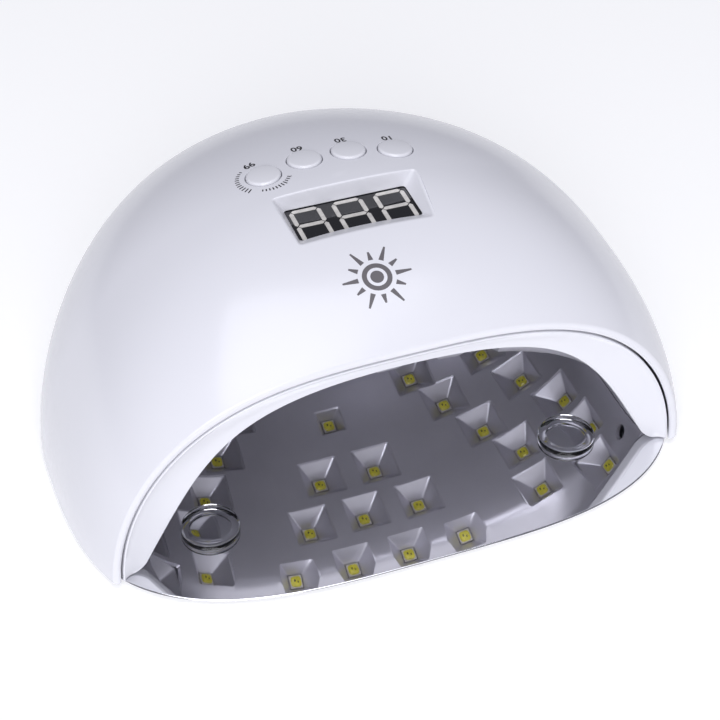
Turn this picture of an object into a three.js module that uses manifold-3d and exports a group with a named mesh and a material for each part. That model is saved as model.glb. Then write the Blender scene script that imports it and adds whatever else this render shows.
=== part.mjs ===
// Desktop UV curing lamp (nail and resin lamp): a domed housing open at the front,
// standing on a removable mirror-steel tray. Millimetres, +Z up, +X right, front towards -Y.
// The origin is on the standing surface, under the middle of the lamp.

import * as THREE from 'three';
import { mergeVertices } from 'three/addons/utils/BufferGeometryUtils.js';
import Module from 'manifold-3d';

const wasm = await Module();
wasm.setup();

// ---------------------------------------------------------------- driving dimensions

const GAP = 0.3;                  // clearance between touching pieces
const GLUE_LINE = 0.05;           // between the tray and what is stuck to it
const FOOT_HEIGHT = 1.6;          // rubber feet under the tray
const TRAY_THICK = 1.0;           // polished steel sheet
const TRAY_TOP = FOOT_HEIGHT + TRAY_THICK;
const BASE_Z = TRAY_TOP + GAP;    // lowest edge of the housing

// Outer form of the housing: a superellipsoid with its own curve to the front, back and sides.
const DOME = {
  halfWidth: 110,
  frontDepth: 98.8,
  backDepth: 93.1,
  height: 94,
  centreY: -4,
  baseZ: 2,
  lean: 0.068,                    // how far the crest leans back, per mm of its height
  frontCorner: 3.05,              // plan exponents
  backCorner: 1.95,
  side: { rise: 1.87, fall: 2.62 },
  front: { rise: 2.06, fall: 1.93 },
  back: { rise: 4.2, fall: 1.75 },
};
const FRONT_Y = -64.5;            // plane of the housing's front edge
const SHELL_WALL = 2.6;
const ARC_STEPS = 24;             // facets round each arched section
const FACET_GAP = 1.0;            // clearance where two faceted curves lie side by side

// Tray outline
const TRAY = {
  halfWidth: 109.4,
  centreY: -1.5,
  frontDepth: 87.6,
  frontCorner: 3.3,
  backDepth: 90,
  backCorner: 1.9,
  bevel: 0.3,
};

// Mouth of the hand chamber, as one half of an arch drawn by a cubic curve
const MOUTH = { y: -61.8, halfWidth: 91, height: 61.8, footLean: [67.5, 41.5], shoulder: 62 };
const RIM = { wall: 1.6, returnDepth: 3.7, flange: 6 };

// Reflector: height of the roof above BASE_Z from the mouth to the back (y, height)
const ROOF_LINE = [
  [-62, 60.5], [-54, 52], [-48, 47.5], [-42, 44], [-24, 39.6],
  [-6, 35.4], [14, 29], [30, 21.5], [45, 12.5], [56, 5], [62, 1],
];
const LINER = {
  frontY: -57.7,
  backY: 63.4,
  halfWidth: 90.5,
  taperFromY: -14,
  taperLength: 78,
  blendLength: 14,                // from the mouth's arch to the vaulted roof
  wall: 1.4,
  flangeZ: 6,
  flangeThick: 1.6,
};

// LED pockets: inverted pyramids sunk into the reflector, mirrored left and right
const POCKET = { opening: 14.6, bottom: 5.4, depth: 6.4, wall: 1.2 };
const SMALL_POCKET = { opening: 9.6, bottom: 5.4, depth: 4.6, wall: 1.2 };
const LED_SIZE = 4.8;
const STRIP = { pad: 8, padThick: 1.6, thick: 1.2, width: 6 };
const STRIPS = {
  led_strip_front: [[-62, -39], [-32, -44], [-10.7, -43], [10.7, -43], [32, -44], [62, -39]],
  led_strip_middle: [[-62, -21], [-21, -24.5], [0, -24], [21, -24.5], [62, -21]],
  led_strip_rear: [[-53.5, -5.5], [-10.7, -6], [10.7, -6], [53.5, -5.5]],
  led_strip_crown: [[-44.5, 10.5], [0, 15], [44.5, 10.5]],
  led_strip_back_left: [[-63.5, 21.5], [-36, 24]],
  led_strip_back_right: [[36, 24], [63.5, 21.5]],
  led_strip_side_left: [[-72, 5], [-80, -13], [-82, -31], [-81, -48]],
  led_strip_side_right: [[72, 5], [80, -13], [82, -31], [81, -48]],
};

// Controls on top
const BUTTONS = {
  button_double_power: [-23.3, 11.4],
  button_60s: [-7.8, 15],
  button_30s: [7.8, 15],
  button_10s: [23.3, 11.4],
};
const BUTTON = { radius: 5.9, proud: 0.9, skirt: 5.6, flangeRadius: 7.2, flangeThick: 1, stem: 1.6 };
const SWITCH = { size: 6.2, height: 3.6, wellRadius: 2.2, floor: 0.8, slack: 1.1 };
const BOARD = { halfX: 35, halfY: 24, z: 78.5, thick: 1.6, postX: 31, postY: 20, postRadius: 2.6 };
const BOARD_TOP = BOARD.z + BOARD.thick;
const WINDOW = { z: 88.1, thick: 1, halfX: 21, backY: -2.9, frontY: -19.6, bow: 1.5 };
const RECESS = { floorZ: 89.4, sideSlope: 0.667, backSlope: 0.05, frontSlope: 2, wall: 1.5, topZ: 99 };
const DISPLAY = { halfX: 23, halfY: 9.5, y: -11.2, thick: 7.2 };

// Inner hardware
const MAGNETS = [[-99, -10], [99, -10], [-55, 64], [55, 64]];
const MAGNET = { radius: 5, thick: 2.5 };
const BOSSES = [[-99, 18], [99, 18], [-28, 74], [28, 74]];
const BOSS = { radius: 3.6, top: 22, rib: 2.4 };
const SCREW = { head: 3, headThick: 1.8, shank: 1.3, length: 12 };
const BOARD_SCREW = { head: 2.3, headThick: 1.4, shank: 1.0, length: 7 };
const SENSOR = { y: -48, z: 10, radius: 2.2, length: 6, hole: 2.6 };
const JACK = { z: 20, halfX: 4.6, halfZ: 5.4, frontY: 72, backY: 84, collar: 3.9, bore: 2.75, pin: 1 };
const VENT = { count: 8, pitch: 8, width: 2.2, z: 44, height: 14, frontY: 50 };
const PAD = { x: 65, y: -51, radius: 10, thick: 2.4, round: 0.9 };
const FOOT = { radius: 6, frontX: 84, frontY: -60, backX: 60, backY: 52 };
const FAR = 400;                  // larger than the lamp, for cutting boxes

// ---------------------------------------------------------------- materials

function finish(color, roughness, metalness) {
  return new THREE.MeshStandardMaterial({ color, roughness, metalness });
}
const MATERIALS = {
  housing: finish(0xf1f1f6, 0.18, 0),
  mirrorSteel: finish(0xc9c9cf, 0.06, 1),
  reflector: finish(0x8b8892, 0.32, 0.9),
  circuit: finish(0xe9e7de, 0.5, 0),
  board: finish(0x24543a, 0.55, 0),
  blackPlastic: finish(0x17171a, 0.35, 0),
  smoked: finish(0x0b0b0d, 0.08, 0),
  clear: finish(0xe6eaf0, 0.1, 0),
  rubber: finish(0x2b2b2d, 0.8, 0),
  steel: finish(0x9b9ca0, 0.35, 1),
};

// ---------------------------------------------------------------- solids and booleans

function solidOf(geometry) {
  const bare = geometry.clone();
  bare.deleteAttribute('normal');
  bare.deleteAttribute('uv');
  const merged = mergeVertices(bare, 1e-4);
  const mesh = new wasm.Mesh({
    numProp: 3,
    vertProperties: new Float32Array(merged.attributes.position.array),
    triVerts: new Uint32Array(merged.index.array),
  });
  return new wasm.Manifold(mesh);
}

function geometryOf(solid) {
  const mesh = solid.getMesh();
  const geometry = new THREE.BufferGeometry();
  const positions = new Float32Array(mesh.vertProperties);
  geometry.setAttribute('position', new THREE.BufferAttribute(positions, 3));
  geometry.setIndex(new THREE.BufferAttribute(new Uint32Array(mesh.triVerts), 1));
  geometry.computeVertexNormals();
  return geometry;
}

// A closed solid through matching rings of points, capped at both ends.
function loft(rings) {
  const count = rings[0].length;
  const positions = rings.flat().flatMap((p) => [p.x, p.y, p.z]);
  const index = [];
  for (let j = 0; j + 1 < rings.length; j += 1) {
    for (let i = 0; i < count; i += 1) {
      const next = (i + 1) % count;
      const a = j * count + i;
      const b = j * count + next;
      index.push(a, b, a + count, b, b + count, a + count);
    }
  }
  for (const [start, flip] of [[0, true], [(rings.length - 1) * count, false]]) {
    const outline = rings[start / count];
    for (const [a, b, c] of capTriangles(outline)) {
      index.push(start + a, start + (flip ? c : b), start + (flip ? b : c));
    }
  }
  const geometry = new THREE.BufferGeometry();
  geometry.setAttribute('position', new THREE.Float32BufferAttribute(positions, 3));
  geometry.setIndex(index);
  return outwards(geometry);
}

// Triangles over one flat ring, found in the plane that the ring lies in.
function capTriangles(ring) {
  const normal = new THREE.Vector3();
  ring.forEach((p, i) => {
    const q = ring[(i + 1) % ring.length];
    normal.x += (p.y - q.y) * (p.z + q.z);
    normal.y += (p.z - q.z) * (p.x + q.x);
    normal.z += (p.x - q.x) * (p.y + q.y);
  });
  normal.normalize();
  const across = new THREE.Vector3(1, 0, 0);
  if (Math.abs(normal.x) > 0.9) across.set(0, 1, 0);
  across.cross(normal).normalize();
  const up = new THREE.Vector3().crossVectors(normal, across);
  const flat = ring.map((p) => new THREE.Vector2(p.dot(across), p.dot(up)));
  const turned = THREE.ShapeUtils.isClockWise(flat);
  const faces = THREE.ShapeUtils.triangulateShape(flat, []);
  return turned ? faces.map(([a, b, c]) => [a, c, b]) : faces;
}

// Turns every face over when the closed geometry came out inside out.
function outwards(geometry) {
  const p = geometry.attributes.position;
  const index = geometry.index.array;
  const corner = [0, 1, 2].map(() => new THREE.Vector3());
  let volume = 0;
  for (let i = 0; i < index.length; i += 3) {
    corner.forEach((v, k) => v.fromBufferAttribute(p, index[i + k]));
    volume += corner[0].dot(corner[1].clone().cross(corner[2]));
  }
  if (volume < 0) {
    for (let i = 0; i < index.length; i += 3) {
      [index[i + 1], index[i + 2]] = [index[i + 2], index[i + 1]];
    }
  }
  return geometry;
}

function box(minimum, maximum) {
  const low = new THREE.Vector3(...minimum);
  const size = new THREE.Vector3(...maximum).sub(low);
  const geometry = new THREE.BoxGeometry(size.x, size.y, size.z);
  geometry.translate(low.x + size.x / 2, low.y + size.y / 2, low.z + size.z / 2);
  return geometry;
}

// An upright turned piece: profile points are [radius, z], from the axis back to the axis.
function turned(profile, x, y, segments = 24) {
  const points = profile.map(([r, z]) => new THREE.Vector2(r, z));
  const geometry = new THREE.LatheGeometry(points, segments);
  geometry.rotateX(Math.PI / 2);
  geometry.translate(x, y, 0);
  return geometry;
}

function rod(x, y, radius, bottom, top, segments = 24) {
  return turned([[0, bottom], [radius, bottom], [radius, top], [0, top]], x, y, segments);
}

// ---------------------------------------------------------------- outer form

function fade(t, curve) {
  return t >= 1 ? 0 : (1 - t ** curve.rise) ** (1 / curve.fall);
}

// Below 1 inside the dome, 1 on it. The inset makes the same form smaller all round.
function domeValue(x, y, z, inset = 0) {
  const up = Math.max(z - DOME.baseZ, 0);
  const t = up / (DOME.height - inset);
  if (t >= 1) return 2;
  const along = y - DOME.centreY - DOME.lean * up * t;
  const isFront = along < 0;
  const corner = isFront ? DOME.frontCorner : DOME.backCorner;
  const depth = isFront
    ? (DOME.frontDepth - inset) * fade(t, DOME.front)
    : (DOME.backDepth - inset) * fade(t, DOME.back);
  const width = (DOME.halfWidth - inset) * fade(t, DOME.side);
  return ((Math.abs(x) / width) ** corner + (Math.abs(along) / depth) ** corner) ** (1 / corner);
}

// Distance from the middle of the base line, at one y, to where the test first fails.
function reach(isInside, y, angle, limit = 160) {
  let near = 0;
  let far = limit;
  for (let step = 0; step < 40; step += 1) {
    const middle = (near + far) / 2;
    const x = middle * Math.cos(angle);
    const z = BASE_Z + middle * Math.sin(angle);
    if (isInside(x, y, z)) near = middle;
    else far = middle;
  }
  return near;
}

// One arched section of a hollow form: an arc of points and a floor line.
function archRing(radiusAt, y, steps, floorZ) {
  const arc = [];
  for (let i = 0; i <= steps; i += 1) {
    const angle = (Math.PI * i) / steps;
    const radius = radiusAt(y, angle);
    arc.push(new THREE.Vector3(radius * Math.cos(angle), y, BASE_Z + radius * Math.sin(angle)));
  }
  if (floorZ < BASE_Z) {
    arc.unshift(new THREE.Vector3(arc[0].x, y, floorZ));
    arc.push(new THREE.Vector3(-arc[0].x, y, floorZ));
  }
  return arc;
}

// Planes from front to back, closer together towards the rounded back.
function sectionPlanes(frontY, backY, count) {
  return Array.from({ length: count + 1 }, (_, i) => {
    const t = Math.sin((Math.PI / 2) * (i / count));
    return frontY + (backY - frontY) * t;
  });
}

function archSolid(radiusAt, planes, steps, floorZ = BASE_Z) {
  return loft(planes.map((y) => archRing(radiusAt, y, steps, floorZ)));
}

function domeSolid(inset, frontY, sections, steps, floorZ = BASE_Z) {
  const backY = DOME.centreY + DOME.backDepth - inset - 0.02;
  const radiusAt = (y, angle) => (
    reach((x, py, z) => domeValue(x, py, z, inset) < 1, y, angle)
  );
  return solidOf(archSolid(radiusAt, sectionPlanes(frontY, backY, sections), steps, floorZ));
}

function domeTop(x, y) {
  let low = DOME.baseZ;
  let high = DOME.baseZ + DOME.height;
  for (let step = 0; step < 40; step += 1) {
    const middle = (low + high) / 2;
    if (domeValue(x, y, middle) < 1) low = middle;
    else high = middle;
  }
  return low;
}

// ---------------------------------------------------------------- mouth and reflector forms

const mouthCurve = new THREE.CubicBezierCurve(
  new THREE.Vector2(MOUTH.halfWidth, 0),
  new THREE.Vector2(...MOUTH.footLean),
  new THREE.Vector2(MOUTH.shoulder, MOUTH.height),
  new THREE.Vector2(0, MOUTH.height),
);

// Distance from the middle of the base line to the mouth's edge, at one angle.
function mouthRadius(angle) {
  const wanted = angle > Math.PI / 2 ? Math.PI - angle : angle;
  let low = 0;
  let high = 1;
  for (let step = 0; step < 40; step += 1) {
    const middle = (low + high) / 2;
    const point = mouthCurve.getPoint(middle);
    if (Math.atan2(point.y, point.x) < wanted) low = middle;
    else high = middle;
  }
  return mouthCurve.getPoint(low).length();
}

const roofCurve = new THREE.SplineCurve(ROOF_LINE.map(([y, h]) => new THREE.Vector2(y, h)));

function roofHeight(y) {
  let low = 0;
  let high = 1;
  for (let step = 0; step < 40; step += 1) {
    const middle = (low + high) / 2;
    if (roofCurve.getPoint(middle).x < y) low = middle;
    else high = middle;
  }
  return Math.max(roofCurve.getPoint(low).y, 0.3);
}

function linerHalfWidth(y) {
  const t = THREE.MathUtils.clamp((y - LINER.taperFromY) / LINER.taperLength, 0, 0.999);
  return LINER.halfWidth * (1 - t ** 2.4) ** (1 / 2.2);
}

// The reflector's inner wall: the mouth's arch at the front, a vault further in.
function linerRadius(y, angle) {
  const width = linerHalfWidth(y);
  const height = roofHeight(y);
  const vault = reach(
    (x, py, z) => (Math.abs(x) / width) ** 2.6 + ((z - BASE_Z) / height) ** 1.6 < 1,
    y,
    angle,
  );
  const blend = THREE.MathUtils.smoothstep(y, LINER.frontY, LINER.frontY + LINER.blendLength);
  return THREE.MathUtils.lerp(mouthRadius(angle) + 0.4, vault, blend);
}

// Point on the reflector's wall above (x, y), and the outward normal there.
function linerPoint(x, y) {
  let low = 0;
  let high = Math.PI;
  for (let step = 0; step < 40; step += 1) {
    const middle = (low + high) / 2;
    if (linerRadius(y, middle) * Math.cos(middle) > x) low = middle;
    else high = middle;
  }
  return linerAt(y, low);
}

function linerAt(y, angle) {
  const radius = linerRadius(y, angle);
  return new THREE.Vector3(radius * Math.cos(angle), y, BASE_Z + radius * Math.sin(angle));
}

// A frame on the reflector's wall: Z points out of the chamber, X across, Y to the back.
function pocketFrame(x, y) {
  const point = linerPoint(x, y);
  const angle = Math.atan2(point.z - BASE_Z, point.x);
  const reachStep = 0.8;
  const across = linerAt(y, angle - 0.01).sub(linerAt(y, angle + 0.01)).normalize();
  const ahead = linerPoint(x, y + reachStep).sub(linerPoint(x, y - reachStep)).normalize();
  const out = new THREE.Vector3().crossVectors(across, ahead).normalize();
  const back = new THREE.Vector3().crossVectors(out, across).normalize();
  return new THREE.Matrix4().makeBasis(across, back, out).setPosition(point);
}

// ---------------------------------------------------------------- tray, feet and pads

function trayOutline() {
  const shape = new THREE.Shape();
  const steps = 64;
  for (let i = 0; i < steps; i += 1) {
    const angle = (2 * Math.PI * i) / steps;
    const isFront = Math.sin(angle) < 0;
    const power = 2 / (isFront ? TRAY.frontCorner : TRAY.backCorner);
    const depth = isFront ? TRAY.frontDepth : TRAY.backDepth;
    const halfWidth = TRAY.halfWidth - TRAY.bevel;
    const x = halfWidth * Math.sign(Math.cos(angle)) * Math.abs(Math.cos(angle)) ** power;
    const reachY = (depth - TRAY.bevel) * Math.abs(Math.sin(angle)) ** power;
    const y = TRAY.centreY + Math.sign(Math.sin(angle)) * reachY;
    if (i === 0) shape.moveTo(x, y);
    else shape.lineTo(x, y);
  }
  shape.closePath();
  return shape;
}

function baseTray() {
  const geometry = new THREE.ExtrudeGeometry(trayOutline(), {
    depth: TRAY_THICK - 2 * TRAY.bevel,
    bevelEnabled: true,
    bevelSize: TRAY.bevel,
    bevelThickness: TRAY.bevel,
    bevelSegments: 1,
  });
  geometry.translate(0, 0, FOOT_HEIGHT + TRAY.bevel);
  return geometry;
}

function trayFoot(x, y) {
  const top = FOOT_HEIGHT - GLUE_LINE;
  const profile = [[0, 0], [FOOT.radius - 0.6, 0], [FOOT.radius, 0.5], [FOOT.radius, top], [0, top]];
  return turned(profile, x, y, 16);
}

function clearPad(x, y) {
  const bottom = TRAY_TOP + GLUE_LINE;
  const top = bottom + PAD.thick;
  const profile = [
    [0, bottom],
    [PAD.radius, bottom],
    [PAD.radius, top - PAD.round],
    [PAD.radius - PAD.round * 0.3, top - PAD.round * 0.3],
    [PAD.radius - PAD.round, top],
    [0, top],
  ];
  return turned(profile, x, y, 24);
}

// ---------------------------------------------------------------- housing shell

// Outline of the display recess at one height, as a ring with bowed front edge.
function recessRing(z, grow) {
  const rise = z - (WINDOW.z + WINDOW.thick);
  const halfX = WINDOW.halfX + RECESS.sideSlope * rise + grow;
  const backY = WINDOW.backY + RECESS.backSlope * rise + grow;
  const frontY = WINDOW.frontY - RECESS.frontSlope * rise - grow;
  const ring = [new THREE.Vector3(halfX, backY, z), new THREE.Vector3(-halfX, backY, z)];
  const steps = 10;
  for (let i = 0; i <= steps; i += 1) {
    const t = -1 + (2 * i) / steps;
    ring.push(new THREE.Vector3(t * halfX, frontY + WINDOW.bow * (1 - t * t), z));
  }
  return ring;
}

function recessSolid(bottomZ, grow) {
  return solidOf(loft([recessRing(bottomZ, grow), recessRing(RECESS.topZ, grow)]));
}

function bossWithRib(x, y, outer) {
  const bottom = LINER.flangeZ + LINER.flangeThick + GAP;
  const post = solidOf(rod(x, y, BOSS.radius, bottom, BOSS.top));
  const half = BOSS.rib / 2;
  const isSide = Math.abs(x) > Math.abs(y);
  const low = isSide ? [Math.min(x, x * 1.2), y - half] : [x - half, y];
  const high = isSide ? [Math.max(x, x * 1.2), y + half] : [x + half, y * 1.3];
  const rib = solidOf(box([...low, bottom], [...high, BOSS.top]));
  return post.add(rib).intersect(outer);
}

function topShell() {
  const outer = domeSolid(0, FRONT_Y, 18, ARC_STEPS);
  const inner = domeSolid(SHELL_WALL, FRONT_Y - 4, 14, ARC_STEPS, BASE_Z - 5);
  let shell = outer.subtract(inner);
  shell = shell.add(recessSolid(RECESS.floorZ, RECESS.wall).intersect(outer));
  for (const [x, y] of BOSSES) shell = shell.add(bossWithRib(x, y, outer));
  for (const x of [-BOARD.postX, BOARD.postX]) {
    for (const y of [-BOARD.postY, BOARD.postY]) {
      const post = solidOf(rod(x, y, BOARD.postRadius, BOARD_TOP + GAP, RECESS.topZ, 16));
      const hole = BOARD_SCREW.shank + GAP;
      const holeTop = BOARD.z + BOARD_SCREW.length + 1;
      shell = shell.add(post.intersect(outer));
      shell = shell.subtract(solidOf(rod(x, y, hole, BOARD.z, holeTop, 12)));
    }
  }
  shell = shell.subtract(recessSolid(RECESS.floorZ - 1, 0));
  for (const [x, y] of Object.values(BUTTONS)) {
    shell = shell.subtract(solidOf(rod(x, y, BUTTON.radius + GAP, BOARD_TOP, RECESS.topZ + 5)));
  }
  const screwHoleTop = LINER.flangeZ + SCREW.length + 1;
  for (const [x, y] of BOSSES) {
    shell = shell.subtract(solidOf(rod(x, y, SCREW.shank + GAP, 0, screwHoleTop, 12)));
  }
  for (let i = 0; i < VENT.count; i += 1) {
    const x = (i - (VENT.count - 1) / 2) * VENT.pitch;
    const half = VENT.width / 2;
    const low = [x - half, VENT.frontY, VENT.z - VENT.height / 2];
    const high = [x + half, FAR, VENT.z + VENT.height / 2];
    shell = shell.subtract(solidOf(box(low, high)));
  }
  return shell.subtract(jackHole());
}

// A rod lying along Y
function rodAlongY(x, z, radius, frontY, backY, segments = 24) {
  const geometry = new THREE.CylinderGeometry(radius, radius, backY - frontY, segments);
  geometry.translate(x, (frontY + backY) / 2, z);
  return geometry;
}

function jackHole() {
  return solidOf(rodAlongY(0, JACK.z, JACK.collar + GAP, 80, 100));
}

// ---------------------------------------------------------------- front rim

function rimRadius(y, angle, inset) {
  return reach((x, py, z) => domeValue(x, py, z, inset) < 1, y, angle);
}

// The flared face from the shell's edge in to the mouth, with a short return behind it.
function frontRim() {
  const outerY = FRONT_Y + 0.5;
  const returnY = MOUTH.y + RIM.returnDepth;
  const flangeY = FRONT_Y + RIM.flange;
  const inset = SHELL_WALL + FACET_GAP;
  const rings = [];
  for (let i = 0; i <= ARC_STEPS; i += 1) {
    const angle = (Math.PI * i) / ARC_STEPS;
    const outer = rimRadius(outerY, angle, inset);
    const behind = rimRadius(flangeY, angle, inset);
    const inner = mouthRadius(angle);
    const section = [
      [outer, outerY],
      [inner, MOUTH.y],
      [inner, returnY],
      [inner + RIM.wall, returnY],
      [inner + RIM.wall, MOUTH.y + RIM.wall],
      [outer - RIM.wall, outerY + RIM.wall],
      [outer - RIM.wall, flangeY],
      [Math.min(behind, outer), flangeY],
    ];
    rings.push(section.map(([radius, y]) => (
      new THREE.Vector3(radius * Math.cos(angle), y, BASE_Z + radius * Math.sin(angle))
    )));
  }
  return loft(rings);
}

// ---------------------------------------------------------------- reflector and LED strips

function pocketOf(x, y) {
  return x === 0 && y > 0 ? SMALL_POCKET : POCKET;
}

// A square frustum in a pocket's frame, from one depth to another.
function frustum(frame, pocket, fromDepth, toDepth, grow) {
  const rings = [fromDepth, toDepth].map((depth) => {
    const slope = (pocket.opening - pocket.bottom) / pocket.depth;
    const half = (pocket.opening - slope * depth) / 2 + grow;
    const corners = [[-1, -1], [1, -1], [1, 1], [-1, 1]];
    return corners.map(([a, b]) => (
      new THREE.Vector3(a * half, b * half, depth).applyMatrix4(frame)
    ));
  });
  return solidOf(loft(rings));
}

function orientedBox(frame, halfX, halfY, fromDepth, toDepth) {
  const geometry = box([-halfX, -halfY, fromDepth], [halfX, halfY, toDepth]);
  geometry.applyMatrix4(frame);
  return solidOf(geometry);
}

function reflectorLiner() {
  const sections = 14;
  const steps = 20;
  const outerPlanes = sectionPlanes(LINER.frontY, LINER.backY + LINER.wall, sections);
  const squeeze = (y) => Math.min(y, LINER.backY - 0.05);
  const outerRadius = (y, angle) => linerRadius(squeeze(y), angle) + LINER.wall;
  const outer = solidOf(archSolid(outerRadius, outerPlanes, steps));
  const innerPlanes = sectionPlanes(LINER.frontY - 2, LINER.backY - 0.05, sections);
  const innerRadius = (y, angle) => linerRadius(Math.max(y, LINER.frontY), angle);
  const chamber = solidOf(archSolid(innerRadius, innerPlanes, steps, BASE_Z - 5));

  const flangeTop = LINER.flangeZ + LINER.flangeThick;
  const slab = solidOf(box([-FAR, LINER.frontY + 0.4, LINER.flangeZ], [FAR, FAR, flangeTop]));
  const flange = domeSolid(SHELL_WALL + FACET_GAP, FRONT_Y, 18, ARC_STEPS).intersect(slab);

  let liner = outer.add(flange);
  const cuts = [];
  for (const spots of Object.values(STRIPS)) {
    for (const [x, y] of spots) {
      const frame = pocketFrame(x, y);
      const pocket = pocketOf(x, y);
      const side = pocket.wall + 0.2;
      liner = liner.add(frustum(frame, pocket, 0.2, pocket.depth + pocket.wall, side));
      cuts.push(frustum(frame, pocket, -2, pocket.depth, 0));
      const hole = pocket.bottom / 2;
      cuts.push(orientedBox(frame, hole, hole, pocket.depth - 0.5, pocket.depth + 3));
    }
  }
  liner = liner.subtract(chamber);
  for (const cut of cuts) liner = liner.subtract(cut);
  for (const side of [-1, 1]) {
    liner = liner.subtract(solidOf(sensorRod(side, SENSOR.hole, -8, 20)));
  }
  for (const [x, y] of BOSSES) {
    liner = liner.subtract(solidOf(rod(x, y, SCREW.shank + GAP, 0, 20, 16)));
  }
  return liner;
}

// One flexible strip: LED packages that look into their pockets, joined by short links.
function ledStrip(spots) {
  let strip = null;
  let previous = null;
  for (const [x, y] of spots) {
    const frame = pocketFrame(x, y);
    const pocket = pocketOf(x, y);
    const seat = pocket.depth + pocket.wall + GAP;
    const half = LED_SIZE / 2;
    const led = orientedBox(frame, half, half, pocket.depth - 0.4, seat + 0.4);
    const halfPad = STRIP.pad / 2;
    const pad = orientedBox(frame, halfPad, halfPad, seat, seat + STRIP.padThick);
    const joint = new THREE.Vector3(0, 0, seat + 2).applyMatrix4(frame);
    const out = new THREE.Vector3().setFromMatrixColumn(frame, 2);
    strip = strip ? strip.add(led).add(pad) : led.add(pad);
    if (previous) strip = strip.add(stripLink(previous, { joint, out }));
    previous = { joint, out };
  }
  return strip;
}

function stripLink(from, to) {
  const along = to.joint.clone().sub(from.joint);
  const length = along.length();
  along.normalize();
  const out = from.out.clone().add(to.out).normalize();
  const across = new THREE.Vector3().crossVectors(out, along).normalize();
  const up = new THREE.Vector3().crossVectors(along, across);
  const middle = from.joint.clone().add(to.joint).multiplyScalar(0.5);
  const frame = new THREE.Matrix4().makeBasis(along, across, up).setPosition(middle);
  const reachX = length / 2 + 2;
  return orientedBox(frame, reachX, STRIP.width / 2, -STRIP.thick / 2, STRIP.thick / 2);
}

// ---------------------------------------------------------------- sensors, jack and lead

// A rod lying along X, outwards from one distance beside the reflector's wall.
function sensorRod(side, radius, offset, length) {
  const inner = linerHalfWidth(SENSOR.y) + offset;
  const geometry = new THREE.CylinderGeometry(radius, radius, length, 16);
  geometry.rotateZ(Math.PI / 2);
  geometry.translate(side * (inner + length / 2), SENSOR.y, SENSOR.z);
  return geometry;
}

function handSensor(side) {
  return sensorRod(side, SENSOR.radius, LINER.wall + GAP, SENSOR.length);
}

function dcJack() {
  const body = solidOf(box(
    [-JACK.halfX, JACK.frontY, JACK.z - JACK.halfZ],
    [JACK.halfX, JACK.backY, JACK.z + JACK.halfZ],
  ));
  const collar = solidOf(rodAlongY(0, JACK.z, JACK.collar, JACK.backY - 1, JACK.backY + 4));
  const bore = solidOf(rodAlongY(0, JACK.z, JACK.bore, JACK.frontY + 3, JACK.backY + 10));
  const pin = solidOf(rodAlongY(0, JACK.z, JACK.pin, JACK.frontY + 2, JACK.backY + 2, 12));
  return body.add(collar).subtract(bore).add(pin);
}

function powerLead() {
  const startY = JACK.frontY - 2 * GAP;
  const endZ = BOARD.z - 2 * GAP;
  const endY = BOARD.halfY - 6;
  const route = new THREE.CatmullRomCurve3([
    new THREE.Vector3(0, startY, JACK.z),
    new THREE.Vector3(0, startY - 5, JACK.z),
    new THREE.Vector3(0, startY - 11, JACK.z + 20),
    new THREE.Vector3(0, startY - 24, JACK.z + 42),
    new THREE.Vector3(0, endY + 2, endZ - 7),
    new THREE.Vector3(0, endY, endZ),
  ]);
  const circle = new THREE.Shape();
  circle.absarc(0, 0, 1.3, 0, 2 * Math.PI, false);
  return new THREE.ExtrudeGeometry(circle, { steps: 16, curveSegments: 3, extrudePath: route });
}

// ---------------------------------------------------------------- controls

function button(x, y) {
  const top = domeTop(x, y);
  const flangeTop = top - BUTTON.skirt + BUTTON.flangeThick;
  const flangeBottom = top - BUTTON.skirt;
  const tip = BOARD_TOP + GAP + SWITCH.floor + SWITCH.slack;
  const crown = domeSolid(-BUTTON.proud, -40, 30, 40);
  const cap = solidOf(rod(x, y, BUTTON.radius, flangeTop - 0.5, top + 5)).intersect(crown);
  const foot = turned([
    [0, tip],
    [BUTTON.stem, tip],
    [BUTTON.stem, flangeBottom],
    [BUTTON.flangeRadius, flangeBottom],
    [BUTTON.flangeRadius, flangeTop],
    [0, flangeTop],
  ], x, y);
  return cap.add(solidOf(foot));
}

function tactSwitch(x, y) {
  const half = SWITCH.size / 2;
  const bottom = BOARD_TOP + GAP;
  const top = bottom + SWITCH.height;
  const body = solidOf(box([x - half, y - half, bottom], [x + half, y + half, top]));
  return body.subtract(solidOf(rod(x, y, SWITCH.wellRadius, bottom + SWITCH.floor, top + 1)));
}

function controlBoard() {
  const low = [-BOARD.halfX, -BOARD.halfY, BOARD.z];
  const high = [BOARD.halfX, BOARD.halfY, BOARD_TOP];
  let board = solidOf(box(low, high));
  for (const x of [-BOARD.postX, BOARD.postX]) {
    for (const y of [-BOARD.postY, BOARD.postY]) {
      board = board.subtract(solidOf(rod(x, y, BOARD_SCREW.shank + GAP, 0, 100, 12)));
    }
  }
  return board;
}

function displayModule() {
  const bottom = BOARD_TOP + GAP;
  return box(
    [-DISPLAY.halfX, DISPLAY.y - DISPLAY.halfY, bottom],
    [DISPLAY.halfX, DISPLAY.y + DISPLAY.halfY, bottom + DISPLAY.thick],
  );
}

function displayWindow() {
  const margin = 1.4;
  return box(
    [-WINDOW.halfX - margin, WINDOW.frontY - margin, WINDOW.z],
    [WINDOW.halfX + margin, WINDOW.backY + margin, WINDOW.z + WINDOW.thick],
  );
}

function panScrew(x, y, seatZ, screw) {
  return turned([
    [0, seatZ - screw.headThick],
    [screw.head * 0.8, seatZ - screw.headThick],
    [screw.head, seatZ - screw.headThick * 0.5],
    [screw.head, seatZ],
    [screw.shank, seatZ],
    [screw.shank, seatZ + screw.length],
    [0, seatZ + screw.length],
  ], x, y, 12);
}

// ---------------------------------------------------------------- assembly

const lamp = new THREE.Group();
const tray = new THREE.Group();
const housing = new THREE.Group();
lamp.add(tray, housing);

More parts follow.
